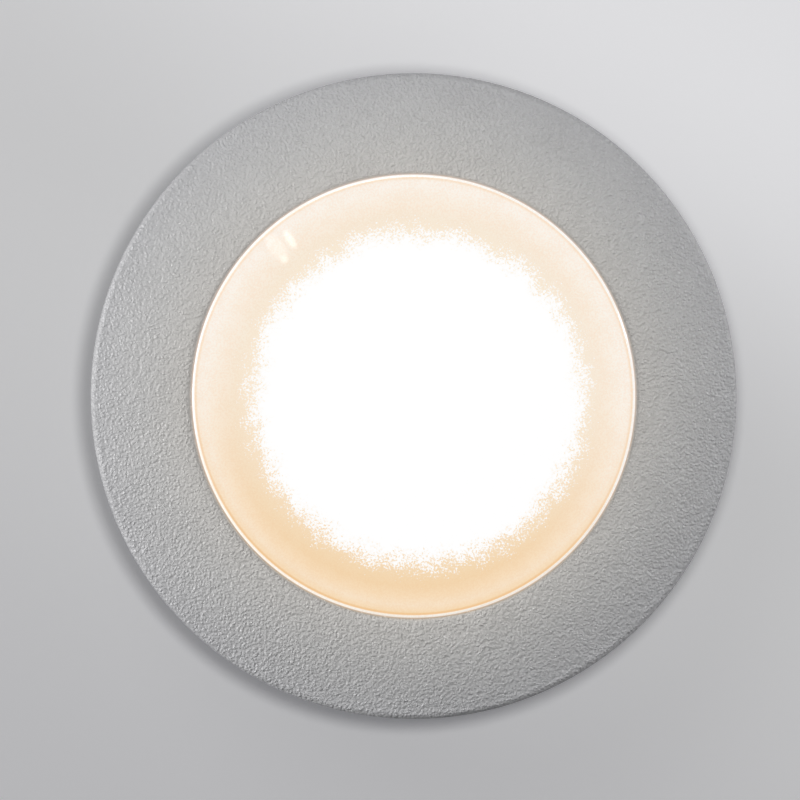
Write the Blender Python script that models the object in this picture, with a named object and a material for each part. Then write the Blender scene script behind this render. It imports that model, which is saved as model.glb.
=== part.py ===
"""Round recessed pathway light: sleeve, housing, twist-lock disc lamp, glass and screw-on trim.

Metres, +Z up. The origin is the centre of the sleeve's foot. The supply cable's gland
points to -Y and the closed second entry to +Y.
"""

import math

import bmesh
import bpy
from mathutils import Vector

# Fits shared by all pieces
SEAT_GAP = 0.0003  # between a piece and what it rests on
SLIDE_GAP = 0.0005  # between a piece and the bore it drops into
CUT_OVERRUN = 0.002  # how far a cutting tool runs past a face
ROOT_OVERLAP = 0.0005  # how far a rib, boss or ridge is sunk in its wall

# Roundness
RING_STEPS = 64
BODY_STEPS = 36
SMALL_STEPS = 16
WIRE_STEPS = 12
HEX_STEPS = 6
ARC_STEPS = 2
CROWN_STEPS = 5
SCREW_STEPS = 12
ENTRY_STEPS = 18
DRIVER_BOARD_STEPS = 20
WIRE_BEVEL_STEPS = 2
SHARP_DEGREES = 35
MERGE_DISTANCE = 0.000001
WELD_DISTANCE = 0.000005  # closes the hairline splits that a cut leaves

# Colours and finishes
GREY_RESIN = (0.43, 0.43, 0.42)
DARK_RESIN = (0.05, 0.05, 0.055)
BLACK_PLASTIC = (0.02, 0.02, 0.02)
WHITE_PLASTIC = (0.8, 0.8, 0.78)
GREY_RUBBER = (0.12, 0.12, 0.12)
WARM_GLASS = (0.95, 0.85, 0.7)
OPAL = (0.9, 0.88, 0.82)
STEEL = (0.6, 0.6, 0.6)
BRASS = (0.8, 0.6, 0.25)
COPPER = (0.75, 0.4, 0.2)
CIRCUIT_GREEN = (0.03, 0.18, 0.07)
WIRE_COLOURS = {"wire_live": (0.2, 0.07, 0.02), "wire_neutral": (0.05, 0.15, 0.5)}
GLASS_ROUGHNESS = 0.1
METAL_ROUGHNESS = 0.3
STEEL_ROUGHNESS = 0.35
SATIN_ROUGHNESS = 0.45
MATTE_ROUGHNESS = 0.6
RUBBER_ROUGHNESS = 0.8

# Lamp: a disc lamp with two mushroom pins
LAMP_RADIUS = 0.0372
LAMP_HEIGHT = 0.027
LAMP_WALL = 0.0022
LAMP_LEDGE = 0.001
LAMP_FLOOR = 0.002
LAMP_EDGE = 0.0015
HUB_INSET = 0.0167  # of the hub from the lamp's edge
HUB_DEPTH = 0.0061
PIN_OUTSET = 0.006  # of the pins' circle from the hub
PIN_STEM_RADIUS = 0.0015
PIN_STEM_LENGTH = 0.0039
PIN_HEAD_RADIUS = 0.0026
PIN_HEAD_HEIGHT = 0.0025
PIN_RIVET_RADIUS = 0.0024
PIN_RIVET_HEIGHT = 0.0008
PIN_HOLE_GAP = 0.0003
DIFFUSER_PLATE = 0.002
DIFFUSER_RIM = 0.0028
SPIGOT_WALL = 0.0015
SPIGOT_DEPTH = 0.0029
LED_BOARD_THICKNESS = 0.0016
LED_SIZE = 0.003
LED_HEIGHT = 0.0008
LED_OUTER_COUNT = 12
LED_INNER_COUNT = 6
LED_OUTER_INSET = 0.0107  # of the outer circle from the board's edge
LED_INNER_SHARE = 0.5  # of the outer circle
DRIVER_BOARD_GAP = 0.004  # round the board, inside the lamp
DRIVER_BOARD_THICKNESS = 0.0016
STANDOFF_HEIGHT = 0.0024
STANDOFF_RADIUS = 0.0015
STANDOFF_INSET = 0.0025  # from the board's edge
STANDOFF_COUNT = 3
CAPACITOR_RADIUS = 0.005
CAPACITOR_HEAD_ROOM = 0.0031  # beneath the light board
CAPACITOR_PLACE = (0.012, 0.006)
COIL_LENGTH = 0.012
COIL_WIDTH = 0.010
COIL_HEAD_ROOM = 0.0041
COIL_PLACE = (-0.010, -0.005)

# Lampholder
HOLDER_MARGIN = 0.0007  # the holder is this much smaller than the lamp
HOLDER_HEIGHT = 0.0135
HOLDER_EDGE = 0.0008
HOLDER_BORE_GAP = 0.0015
HOLDER_TOP_PLATE = 0.0032
PIN_SLOT_GAP = 0.0005
PIN_ENTRY_GAP = 0.0006
TWIST_DEGREES = 20
POCKET_MARGIN_DEGREES = 8
POCKET_GAP = 0.0008
CONTACT_THICKNESS = 0.0012
CONTACT_TONGUE_DEGREES = 9
CONTACT_RUNNING_GAP = 0.0003
HOLDER_SCREW_DEGREES = 45
HOLDER_SCREW_COUNT = 2
HOLDER_SCREW_FLOOR = 0.0045
HOLDER_SCREW_LENGTH = 0.0105
HOLDER_NUT_RADIUS = 0.0032
HOLDER_NUT_THICKNESS = 0.0024
HOLDER_NUT_GAP = 0.0008  # between the nut and the wiring cup

# Housing
HOUSING_WALL = 0.003
LAMP_ROOM = 0.0023  # round the lamp, for fingers and air
LEDGE_WIDTH = 0.002  # seat of the reflector ring
SHELF_THICKNESS = 0.0022
CHAMBER_INSET = 0.0132  # of the wiring cup's bore from the lamp's edge
FLOOR_CLEARANCE = 0.003  # beneath the wiring cup's floor boss
FLOOR_BOSS_DEPTH = 0.003
FLOOR_BOSS_RADIUS = 0.004
COLLAR_THICKNESS = 0.003
NECK_HEIGHT = 0.0103

# Thread between the housing's neck and the trim ring
THREAD_DEPTH = 0.0015
THREAD_RADIAL_GAP = 0.0004
THREAD_PITCH = 0.005
THREAD_ROOT_WIDTH = 0.0022
THREAD_CREST_WIDTH = 0.0012
THREAD_FLANK_GAP = 0.0003
NECK_THREAD_TURNS = 1.25
SKIRT_THREAD_TURNS = 1.0
NECK_THREAD_START = 0.0026  # middle of the neck's ridge above the collar
NECK_THREAD_DEGREES = 30  # where it starts, clear of the fixing screws' heads
SKIRT_THREAD_INSET = 0.0002  # of the skirt's ridge from the skirt's lower edge

# Glass and gasket
LENS_FLANGE_THICKNESS = 0.004
LENS_FLANGE_WIDTH = 0.0029
LENS_CHAMFER = 0.0005
LENS_STAND_PROUD = 0.0004
LENS_OVER_LAMP = 0.0045
LENS_EDGE_GAP = 0.0003
GASKET_LIP = 0.0012
GASKET_WALL = 0.0016
GASKET_ROOM = 0.0005

# Trim ring
RING_COVER = 0.008  # past the sleeve, over the edge of the hole
RING_DEPTH = 0.0056
RING_EDGE_HEIGHT = 0.0026
RING_EDGE_ROUND = 0.0014
RING_EDGE_CHAMFER = 0.0004
RIM_GROOVE_DEPTH = 0.0006  # in the ring's underside, for the sleeve's rim
RIM_GROOVE_GAP = 0.0006  # outside the sleeve's rim
LIP_THICKNESS = 0.0027
LIP_ROUND = 0.0005
CROWN_POWER_SHARE = 1.6  # how late the crown falls away to the edge
SKIRT_WALL = 0.0026
SKIRT_HEAD_GAP = 0.0005

# Reflector ring
REFLECTOR_WALL_GAP = 0.0004
REFLECTOR_LAMP_GAP = 0.0008
REFLECTOR_LIP = 0.0005
REFLECTOR_FLARE_HEIGHT = 0.0028
REFLECTOR_TOP_GAP = 0.0006

# Sleeve
SLEEVE_WALL = 0.002
SLEEVE_SKIRT_GAP = 0.001
SLEEVE_FOOT_THICKNESS = 0.0025
SLEEVE_OPENING_RADIUS = 0.030
SLEEVE_FOOT_WIDTH = 0.003
SLEEVE_PILLAR_GAP = 0.0008
SLEEVE_COLLAR_GAP = 0.0005
WINDOW_MARGIN = 0.001
WINDOW_RUN = 0.004
ANCHOR_RIB_COUNT = 8
ANCHOR_RIB_THICKNESS = 0.002
ANCHOR_RIB_INSET = 0.0004  # of the rib's face from the foot's edge
ANCHOR_RIB_TOP_DROP = 0.014

# Screws that hold the housing, the lampholder and the terminal block
SCREW_SHANK_RADIUS = 0.00125
SCREW_HEAD_RADIUS = 0.0022
SCREW_HEAD_HEIGHT = 0.0018
SCREW_HOLE_GAP = 0.0003
SCREW_HOLE_SPARE = 0.0015
SCREW_SLOT_WIDTH = 0.0007
SCREW_SLOT_DEPTH = 0.0009
FIXING_SCREW_COUNT = 3
FIXING_SCREW_LENGTH = 0.012

# Terminal block
BLOCK_LENGTH = 0.022
BLOCK_WIDTH = 0.0132
BLOCK_HEIGHT = 0.0105
CLAMP_RADIUS = 0.0024
CLAMP_BORE_RADIUS = 0.00145
CLAMP_INSET = 0.0003
CLAMP_OFFSET = 0.0068
CLAMP_HEIGHT = 0.0057
CLAMP_GAP = 0.0003
CLAMP_SCREW_RADIUS = 0.0012
CLAMP_SCREW_INSET = 0.0026  # from the block's side
CLAMP_SCREW_GAP = 0.0003
CLAMP_SCREW_SINK = 0.0008
BLOCK_SCREW_FLOOR = 0.0047
BLOCK_SCREW_LENGTH = 0.009

# Wires from the terminal block to the lampholder
WIRE_RADIUS = 0.001
WIRE_INSERTION = 0.0045
WIRE_HOLE_GAP = 0.00035
WIRE_LEAD = 0.001  # straight run outside each end's hole
WIRE_PULL_OVERRUN = 0.0029  # of each bend's pull past the start of the entry's thread
WIRE_POINT_COUNT = 14

# Cable gland and blanking plug, measured outwards along their axis
PAD_MARGIN = 0.0009  # round the locknut
PAD_SINK = 0.0004
PAD_INSET = 0.0025
PAD_STAND = 0.0015
ENTRY_THREAD_RADIUS = 0.0078
ENTRY_THREAD_GAP = 0.0003
ENTRY_BORE_RADIUS = 0.005
ENTRY_HEX_RADIUS = 0.0115
ENTRY_HEX_THICKNESS = 0.004
ENTRY_SPARE_THREAD = 0.0007
WASHER_THICKNESS = 0.0015
WASHER_RADIUS = 0.011
LOCKNUT_THICKNESS = 0.0035
GLAND_COLLAR_LENGTH = 0.008
GLAND_COLLAR_WALL = 0.001
SEAL_SEAT_DEPTH = 0.0055
SEAL_BORE_RADIUS = 0.004
SEAL_LENGTH = 0.006
SEAL_SIDE_GAP = 0.0003
NUT_HEX_RADIUS = 0.0109
NUT_HEX_LENGTH = 0.006
NUT_DOME_RADIUS = 0.0093
NUT_DOME_EDGE = 0.0015
NUT_FRONT_WALL = 0.0032
NUT_BACK_GAP = 0.002

# Radii worked out from the lamp outwards
body_bore = LAMP_RADIUS + LAMP_ROOM
body_radius = body_bore + HOUSING_WALL
neck_bore = body_bore + LEDGE_WIDTH
neck_radius = neck_bore + HOUSING_WALL
neck_crest = neck_radius + THREAD_DEPTH
skirt_bore = neck_crest + THREAD_RADIAL_GAP
skirt_crest = skirt_bore - THREAD_DEPTH
skirt_radius = skirt_bore + SKIRT_WALL
gasket_radius = skirt_bore - GASKET_ROOM
lens_flange_radius = gasket_radius - GASKET_WALL - SEAT_GAP
lens_radius = lens_flange_radius - LENS_FLANGE_WIDTH
opening_radius = lens_radius + LENS_EDGE_GAP
gasket_bore = opening_radius + SEAT_GAP
sleeve_bore = skirt_radius + SLEEVE_SKIRT_GAP
sleeve_radius = sleeve_bore + SLEEVE_WALL
foot_radius = sleeve_radius + SLEEVE_FOOT_WIDTH
rim_groove_radius = sleeve_radius + RIM_GROOVE_GAP
ring_radius = sleeve_radius + RING_COVER
collar_radius = sleeve_bore - SLEEVE_COLLAR_GAP
screw_circle = (neck_radius + collar_radius) / 2
pillar_radius = screw_circle - body_radius - SLEEVE_PILLAR_GAP
screw_hole_radius = SCREW_SHANK_RADIUS + SCREW_HOLE_GAP
chamber_bore = LAMP_RADIUS - CHAMBER_INSET
chamber_radius = chamber_bore + HOUSING_WALL
holder_radius = LAMP_RADIUS - HOLDER_MARGIN
holder_screw_circle = chamber_radius + HOLDER_NUT_GAP + HOLDER_NUT_RADIUS
hub_radius = LAMP_RADIUS - HUB_INSET
pin_circle = hub_radius + PIN_OUTSET
holder_bore = hub_radius + HOLDER_BORE_GAP
lamp_bore = LAMP_RADIUS - LAMP_WALL
led_board_radius = lamp_bore - SEAT_GAP
led_outer_circle = led_board_radius - LED_OUTER_INSET
driver_board_radius = lamp_bore - LAMP_LEDGE - DRIVER_BOARD_GAP
standoff_circle = driver_board_radius - STANDOFF_INSET
pocket_half = PIN_HEAD_RADIUS + POCKET_GAP
pocket_bore = pin_circle - pocket_half
pocket_radius = pin_circle + pocket_half
window_radius = NUT_HEX_RADIUS + WINDOW_MARGIN
pad_radius = ENTRY_HEX_RADIUS + PAD_MARGIN
entry_hole_radius = ENTRY_THREAD_RADIUS + ENTRY_THREAD_GAP
seal_seat_radius = ENTRY_THREAD_RADIUS - GLAND_COLLAR_WALL

# Heights worked out from the ground up
chamber_bottom = FLOOR_CLEARANCE + FLOOR_BOSS_DEPTH
chamber_floor = chamber_bottom + HOUSING_WALL
entry_height = chamber_floor + pad_radius - PAD_SINK
chamber_top = entry_height + pad_radius - PAD_SINK
shelf_bottom = chamber_top + SEAT_GAP
shelf_top = shelf_bottom + SHELF_THICKNESS
holder_bottom = shelf_top + SEAT_GAP
holder_top = holder_bottom + HOLDER_HEIGHT
lamp_back = holder_top + SEAT_GAP
lamp_front = lamp_back + LAMP_HEIGHT
lens_bottom = lamp_front + LENS_OVER_LAMP
gasket_bottom = lens_bottom - SEAT_GAP - GASKET_LIP
neck_top = gasket_bottom - SEAT_GAP
collar_top = neck_top - NECK_HEIGHT
collar_bottom = collar_top - COLLAR_THICKNESS
lens_shoulder = lens_bottom + LENS_FLANGE_THICKNESS
gasket_top = lens_shoulder + SEAT_GAP + GASKET_LIP
lip_bottom = gasket_top + SEAT_GAP
lip_top = lip_bottom + LIP_THICKNESS
lens_top = lip_top + LENS_STAND_PROUD
flange_bottom = lip_top - RING_DEPTH
rim_groove_top = flange_bottom + RIM_GROOVE_DEPTH
sleeve_top = rim_groove_top - SEAT_GAP
pillar_top = collar_bottom - SEAT_GAP
skirt_bottom = collar_top + SEAT_GAP + SCREW_HEAD_HEIGHT + SKIRT_HEAD_GAP
holder_screw_seat = holder_bottom + HOLDER_SCREW_FLOOR + SEAT_GAP
block_screw_seat = chamber_floor + SEAT_GAP + BLOCK_SCREW_FLOOR + SEAT_GAP
pocket_top = holder_top - HOLDER_TOP_PLATE
pin_head_bottom = lamp_back - PIN_STEM_LENGTH - PIN_HEAD_HEIGHT
wire_height = (holder_bottom + pin_head_bottom) / 2
hub_bottom = lamp_back - HUB_DEPTH
lamp_floor = lamp_back + LAMP_FLOOR
lamp_rim = lamp_front - DIFFUSER_RIM
spigot_bottom = lamp_rim - SPIGOT_DEPTH
led_board_top = spigot_bottom - SEAT_GAP
led_board_bottom = led_board_top - LED_BOARD_THICKNESS

# Places along the axis of an entry, outwards from the middle of the light
pad_inner = chamber_bore - PAD_INSET
pad_outer = chamber_radius + PAD_STAND
locknut_end = pad_inner - SEAT_GAP
locknut_start = locknut_end - LOCKNUT_THICKNESS
thread_start = locknut_start - ENTRY_SPARE_THREAD
washer_start = pad_outer + SEAT_GAP
washer_end = washer_start + WASHER_THICKNESS
hex_start = washer_end + SEAT_GAP
hex_end = hex_start + ENTRY_HEX_THICKNESS
collar_end = hex_end + GLAND_COLLAR_LENGTH
seal_seat = collar_end - SEAL_SEAT_DEPTH
seal_start = seal_seat + SEAT_GAP
seal_end = seal_start + SEAL_LENGTH
nut_start = hex_end + NUT_BACK_GAP
nut_face = seal_end + SEAT_GAP
nut_end = nut_face + NUT_FRONT_WALL

# Thread: the skirt's ridge lies just below the neck's, as a tightened ring's does
ridge_slope = (THREAD_ROOT_WIDTH - THREAD_CREST_WIDTH) / 2 / (THREAD_DEPTH + ROOT_OVERLAP)
ridge_spacing = (
    THREAD_CREST_WIDTH + ridge_slope * (neck_crest - skirt_crest) + THREAD_FLANK_GAP
)
neck_thread_start = collar_top + NECK_THREAD_START
skirt_thread_start = skirt_bottom + THREAD_ROOT_WIDTH / 2 + SKIRT_THREAD_INSET
skirt_thread_rise = skirt_thread_start + ridge_spacing - neck_thread_start
neck_thread_angle = math.radians(NECK_THREAD_DEGREES)
skirt_thread_angle = neck_thread_angle + math.tau * skirt_thread_rise / THREAD_PITCH

# Angles at which the moving and fixed pieces meet
fixing_angles = [math.tau * k / FIXING_SCREW_COUNT for k in range(FIXING_SCREW_COUNT)]
holder_screw_angles = [
    math.radians(HOLDER_SCREW_DEGREES) + math.tau * k / HOLDER_SCREW_COUNT
    for k in range(HOLDER_SCREW_COUNT)
]
pin_angles = [0.0, math.pi]
twist_angle = math.radians(TWIST_DEGREES)
pocket_margin = math.radians(POCKET_MARGIN_DEGREES)
contact_margin = pocket_margin - SEAT_GAP / pocket_bore
tongue_angle = math.radians(CONTACT_TONGUE_DEGREES)
wire_angle = twist_angle + contact_margin - tongue_angle / 2


def clear_scene():
    """Take every object out of the scene."""
    for obj in list(bpy.data.objects):
        bpy.data.objects.remove(obj)


def polar(radius, angle, height=0.0):
    """Place on a circle about +Z."""
    return (radius * math.cos(angle), radius * math.sin(angle), height)


def finish(name, mesh_data):
    """Turn a bmesh into an object with outward faces, smooth where it is round."""
    bmesh.ops.remove_doubles(mesh_data, verts=mesh_data.verts, dist=MERGE_DISTANCE)
    bmesh.ops.recalc_face_normals(mesh_data, faces=mesh_data.faces)
    mesh = bpy.data.meshes.new(name)
    mesh_data.to_mesh(mesh)
    mesh_data.free()
    mesh.shade_smooth()
    mesh.set_sharp_from_angle(angle=math.radians(SHARP_DEGREES))
    obj = bpy.data.objects.new(name, mesh)
    bpy.context.scene.collection.objects.link(obj)
    return obj


def turned(name, outline, steps, start=0.0):
    """Spin an outline of (radius, height) points about +Z.

    An outline whose ends are on the axis stays open there, any other is closed.
    """
    shape = bmesh.new()
    points = [shape.verts.new(polar(radius, start, height)) for radius, height in outline]
    edges = [shape.edges.new(pair) for pair in zip(points, points[1:])]
    if outline[0][0] > 0:
        edges.append(shape.edges.new((points[-1], points[0])))
    bmesh.ops.spin(
        shape,
        geom=points + edges,
        cent=(0, 0, 0),
        axis=(0, 0, 1),
        angle=math.tau,
        steps=steps,
        use_merge=True,
    )
    return finish(name, shape)


def swept(name, outline, start, angle, steps, rise=0.0):
    """Spin a closed outline through part of a turn, rising on the way, and cap both ends."""
    shape = bmesh.new()
    points = [shape.verts.new(polar(radius, start, height)) for radius, height in outline]
    loop = points + points[:1]
    edges = [shape.edges.new(pair) for pair in zip(loop, loop[1:])]
    bmesh.ops.spin(
        shape,
        geom=points + edges,
        cent=(0, 0, 0),
        axis=(0, 0, 1),
        dvec=(0, 0, rise / steps),
        angle=angle,
        steps=steps,
    )
    bmesh.ops.holes_fill(shape, edges=shape.edges)
    return finish(name, shape)


def cylinder(name, radius, bottom, top, steps=SMALL_STEPS):
    """Solid cylinder about +Z, with the middle of a facet at +X."""
    outline = [(0, bottom), (radius, bottom), (radius, top), (0, top)]
    return turned(name, outline, steps, math.pi / steps)


def tube(name, bore, radius, bottom, top, steps=SMALL_STEPS):
    """Plain ring about +Z."""
    outline = [(bore, bottom), (radius, bottom), (radius, top), (bore, top)]
    return turned(name, outline, steps)


def sector(name, bore, radius, bottom, top, start, angle):
    """Part of a plain ring, from one angle through another."""
    outline = [(bore, bottom), (radius, bottom), (radius, top), (bore, top)]
    steps = max(2, round(BODY_STEPS * angle / math.tau))
    return swept(name, outline, start, angle, steps)


def blocks(name, boxes):
    """Boxes that stand apart, each given by its lowest and highest corner."""
    shape = bmesh.new()
    for low, high in boxes:
        cube = bmesh.ops.create_cube(shape, size=1)
        size = [b - a for a, b in zip(low, high)]
        middle = [(a + b) / 2 for a, b in zip(low, high)]
        bmesh.ops.scale(shape, verts=cube["verts"], vec=size)
        bmesh.ops.translate(shape, verts=cube["verts"], vec=middle)
    return finish(name, shape)


def combine(target, tool, operation):
    """Join a hidden tool to a piece, or cut the piece with it; the tool moves with it."""
    tool.hide_render = True
    tool.display_type = "WIRE"
    tool.parent = target
    step = target.modifiers.new(tool.name, "BOOLEAN")
    step.operation = operation
    step.solver = "EXACT"
    step.object = tool
    weld = target.modifiers.new(f"{tool.name}_weld", "WELD")
    weld.merge_threshold = WELD_DISTANCE


def add(target, tool):
    """Make the tool's shape part of the piece."""
    combine(target, tool, "UNION")


def cut(target, tool):
    """Take the tool's shape out of the piece."""
    combine(target, tool, "DIFFERENCE")


def round_corner(centre_radius, centre_height, size, start_degrees, end_degrees):
    """Points of an arc in an outline, ends included."""
    points = []
    for k in range(ARC_STEPS + 1):
        share = k / ARC_STEPS
        angle = math.radians(start_degrees + (end_degrees - start_degrees) * share)
        points.append(
            (centre_radius + size * math.cos(angle), centre_height + size * math.sin(angle))
        )
    return points


def axis_empty(name, location, turn=(0.0, 0.0, 0.0)):
    """Empty that carries the pieces of one axis."""
    empty = bpy.data.objects.new(name, None)
    empty.location = location
    empty.rotation_euler = turn
    bpy.context.scene.collection.objects.link(empty)
    return empty


def carry(empty, *pieces):
    """Parent pieces to the empty of their axis."""
    for piece in pieces:
        piece.parent = empty


def paint(piece, colour, roughness, metallic=0.0):
    """Give a piece a Principled material of its own."""
    material = bpy.data.materials.new(piece.name)
    material.use_nodes = True
    shader = material.node_tree.nodes["Principled BSDF"]
    shader.inputs["Base Color"].default_value = (*colour, 1.0)
    shader.inputs["Roughness"].default_value = roughness
    shader.inputs["Metallic"].default_value = metallic
    piece.data.materials.append(material)


def make_screw(name, length, place):
    """Cheese-head screw whose head stands on its place, with a slot."""
    outline = [
        (0, -length),
        (SCREW_SHANK_RADIUS, -length),
        (SCREW_SHANK_RADIUS, 0),
        (SCREW_HEAD_RADIUS, 0),
        (SCREW_HEAD_RADIUS, SCREW_HEAD_HEIGHT),
        (0, SCREW_HEAD_HEIGHT),
    ]
    screw = turned(name, outline, SCREW_STEPS)
    slot = slot_tool(name, SCREW_HEAD_RADIUS, SCREW_HEAD_HEIGHT)
    cut(screw, slot)
    screw.location = place
    paint(screw, STEEL, STEEL_ROUGHNESS, metallic=1.0)
    return screw


def slot_tool(name, radius, top):
    """Tool for a screwdriver slot across a face."""
    low = (-radius - CUT_OVERRUN, -SCREW_SLOT_WIDTH / 2, top - SCREW_SLOT_DEPTH)
    high = (radius + CUT_OVERRUN, SCREW_SLOT_WIDTH / 2, top + CUT_OVERRUN)
    return blocks(f"{name}_slot", [(low, high)])


def make_sleeve():
    """Tube that stays in the ground, on a foot that is open below to drain."""
    foot = tube(
        "sleeve_foot", SLEEVE_OPENING_RADIUS, foot_radius, 0, SLEEVE_FOOT_THICKNESS, BODY_STEPS
    )
    paint(foot, BLACK_PLASTIC, MATTE_ROUGHNESS)
    root = SLEEVE_FOOT_THICKNESS + SEAT_GAP
    sleeve = tube(
        "recess_sleeve", sleeve_bore, sleeve_radius, root, sleeve_top, BODY_STEPS
    )
    for k in range(ANCHOR_RIB_COUNT):
        low = (sleeve_radius - ROOT_OVERLAP, -ANCHOR_RIB_THICKNESS / 2, root)
        high = (
            foot_radius - ANCHOR_RIB_INSET,
            ANCHOR_RIB_THICKNESS / 2,
            sleeve_top - ANCHOR_RIB_TOP_DROP,
        )
        rib = blocks(f"anchor_rib_{k}", [(low, high)])
        rib.rotation_euler = (0, 0, math.tau * (k + 0.5) / ANCHOR_RIB_COUNT)
        add(sleeve, rib)
    hole_bottom = collar_top + SEAT_GAP - FIXING_SCREW_LENGTH - SCREW_HOLE_SPARE
    for k, angle in enumerate(fixing_angles):
        pillar = cylinder(f"pillar_{k}", pillar_radius, root, pillar_top)
        pillar.location = polar(screw_circle, angle)
        add(sleeve, pillar)
        hole = cylinder(
            f"pillar_hole_{k}", screw_hole_radius, hole_bottom, pillar_top + CUT_OVERRUN
        )
        hole.location = polar(screw_circle, angle)
        cut(sleeve, hole)
    for side in (1, -1):
        window = cylinder(
            f"cable_window_{side}",
            window_radius,
            sleeve_bore - WINDOW_RUN,
            sleeve_radius + WINDOW_RUN,
        )
        window.location = (0, 0, entry_height)
        window.rotation_euler = (side * math.pi / 2, 0, 0)
        cut(sleeve, window)
    paint(sleeve, BLACK_PLASTIC, MATTE_ROUGHNESS)


def ridge_outline(root, crest, height):
    """Cross-section of a thread ridge whose middle is at a height."""
    root_half = THREAD_ROOT_WIDTH / 2
    crest_half = THREAD_CREST_WIDTH / 2
    return [
        (root, height - root_half),
        (crest, height - crest_half),
        (crest, height + crest_half),
        (root, height + root_half),
    ]


def make_housing():
    """Body of the light: threaded neck, lamp space and the shelf of the lampholder."""
    outline = [
        (neck_bore, neck_top),
        (neck_bore, collar_top),
        (body_bore, collar_top),
        (body_bore, shelf_top),
        (chamber_bore, shelf_top),
        (chamber_bore, shelf_bottom),
        (body_radius, shelf_bottom),
        (body_radius, collar_bottom),
        (collar_radius, collar_bottom),
        (collar_radius, collar_top),
        (neck_radius, collar_top),
        (neck_radius, neck_top),
    ]
    housing = turned("housing", outline, BODY_STEPS)

    ridge = swept(
        "neck_thread",
        ridge_outline(neck_radius - ROOT_OVERLAP, neck_crest, neck_thread_start),
        neck_thread_angle,
        math.tau * NECK_THREAD_TURNS,
        round(BODY_STEPS * NECK_THREAD_TURNS),
        THREAD_PITCH * NECK_THREAD_TURNS,
    )
    add(housing, ridge)
    holes = [("holder_hole", shelf_bottom, shelf_top, holder_screw_circle, holder_screw_angles)]
    holes.append(("collar_hole", collar_bottom, collar_top, screw_circle, fixing_angles))
    for title, bottom, top, circle, angles in holes:
        for k, angle in enumerate(angles):
            hole = cylinder(
                f"{title}_{k}", screw_hole_radius, bottom - CUT_OVERRUN, top + CUT_OVERRUN
            )
            hole.location = polar(circle, angle)
            cut(housing, hole)
    paint(housing, DARK_RESIN, MATTE_ROUGHNESS)


def make_wiring_cup():
    """Cup beneath the housing's shelf, with an entry pad on each side."""
    outline = [
        (0, chamber_bottom),
        (chamber_radius, chamber_bottom),
        (chamber_radius, chamber_top),
        (chamber_bore, chamber_top),
        (chamber_bore, chamber_floor),
        (0, chamber_floor),
    ]
    cup = turned("wiring_cup", outline, BODY_STEPS)
    for side in (1, -1):
        turn = (side * math.pi / 2, 0, 0)
        pad = cylinder(f"entry_pad_{side}", pad_radius, pad_inner, pad_outer)
        pad.location = (0, 0, entry_height)
        pad.rotation_euler = turn
        add(cup, pad)
        hole = cylinder(
            f"entry_hole_{side}",
            entry_hole_radius,
            pad_inner - CUT_OVERRUN,
            pad_outer + CUT_OVERRUN,
        )
        hole.location = (0, 0, entry_height)
        hole.rotation_euler = turn
        cut(cup, hole)

    boss = cylinder(
        "floor_boss", FLOOR_BOSS_RADIUS, FLOOR_CLEARANCE, chamber_bottom + ROOT_OVERLAP
    )
    add(cup, boss)
    hole_bottom = block_screw_seat - BLOCK_SCREW_LENGTH - SCREW_HOLE_SPARE
    hole = cylinder("floor_hole", screw_hole_radius, hole_bottom, chamber_floor + CUT_OVERRUN)
    cut(cup, hole)
    paint(cup, DARK_RESIN, MATTE_ROUGHNESS)


def crown_height(radius, start, end, low):
    """Height of the trim ring's top, which falls away ever faster to its edge."""
    share = (radius - start) / (end - start)
    return lip_top - (lip_top - low) * share**CROWN_POWER_SHARE


def make_trim_ring():
    """Crowned ring with a threaded skirt that screws down on the glass."""
    edge_top = flange_bottom + RING_EDGE_HEIGHT
    crown_start = opening_radius + LIP_ROUND
    crown_end = ring_radius - RING_EDGE_ROUND
    crown = []
    for k in range(CROWN_STEPS - 1, 0, -1):
        radius = crown_start + (crown_end - crown_start) * k / CROWN_STEPS
        crown.append((radius, crown_height(radius, crown_start, crown_end, edge_top)))
    outline = [
        (skirt_bore, skirt_bottom),
        (skirt_radius, skirt_bottom),
        (skirt_radius, rim_groove_top),
        (rim_groove_radius, rim_groove_top),
        (rim_groove_radius, flange_bottom),
        (ring_radius - RING_EDGE_CHAMFER, flange_bottom),
        (ring_radius, flange_bottom + RING_EDGE_CHAMFER),
        *round_corner(crown_end, edge_top - RING_EDGE_ROUND, RING_EDGE_ROUND, 0, 90),
        *crown,
        *round_corner(crown_start, lip_top - LIP_ROUND, LIP_ROUND, 90, 180),
        (opening_radius, lip_bottom),
        (skirt_bore, lip_bottom),
    ]
    ring = turned("trim_ring", outline, RING_STEPS)
    ridge = swept(
        "skirt_thread",
        ridge_outline(skirt_bore + ROOT_OVERLAP, skirt_crest, skirt_thread_start),
        skirt_thread_angle,
        math.tau * SKIRT_THREAD_TURNS,
        round(RING_STEPS * SKIRT_THREAD_TURNS),
        THREAD_PITCH * SKIRT_THREAD_TURNS,
    )
    add(ring, ridge)
    paint(ring, GREY_RESIN, SATIN_ROUGHNESS)
    return ring


def make_lens():
    """Thick stepped glass, with a bevelled edge that stands proud of the trim ring."""
    outline = [
        (0, lens_bottom),
        (lens_flange_radius, lens_bottom),
        (lens_flange_radius, lens_shoulder),
        (lens_radius, lens_shoulder),
        (lens_radius, lens_top - LENS_CHAMFER),
        (lens_radius - LENS_CHAMFER, lens_top),
        (0, lens_top),
    ]
    lens = turned("lens", outline, RING_STEPS)
    paint(lens, WARM_GLASS, GLASS_ROUGHNESS)
    return lens


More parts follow.
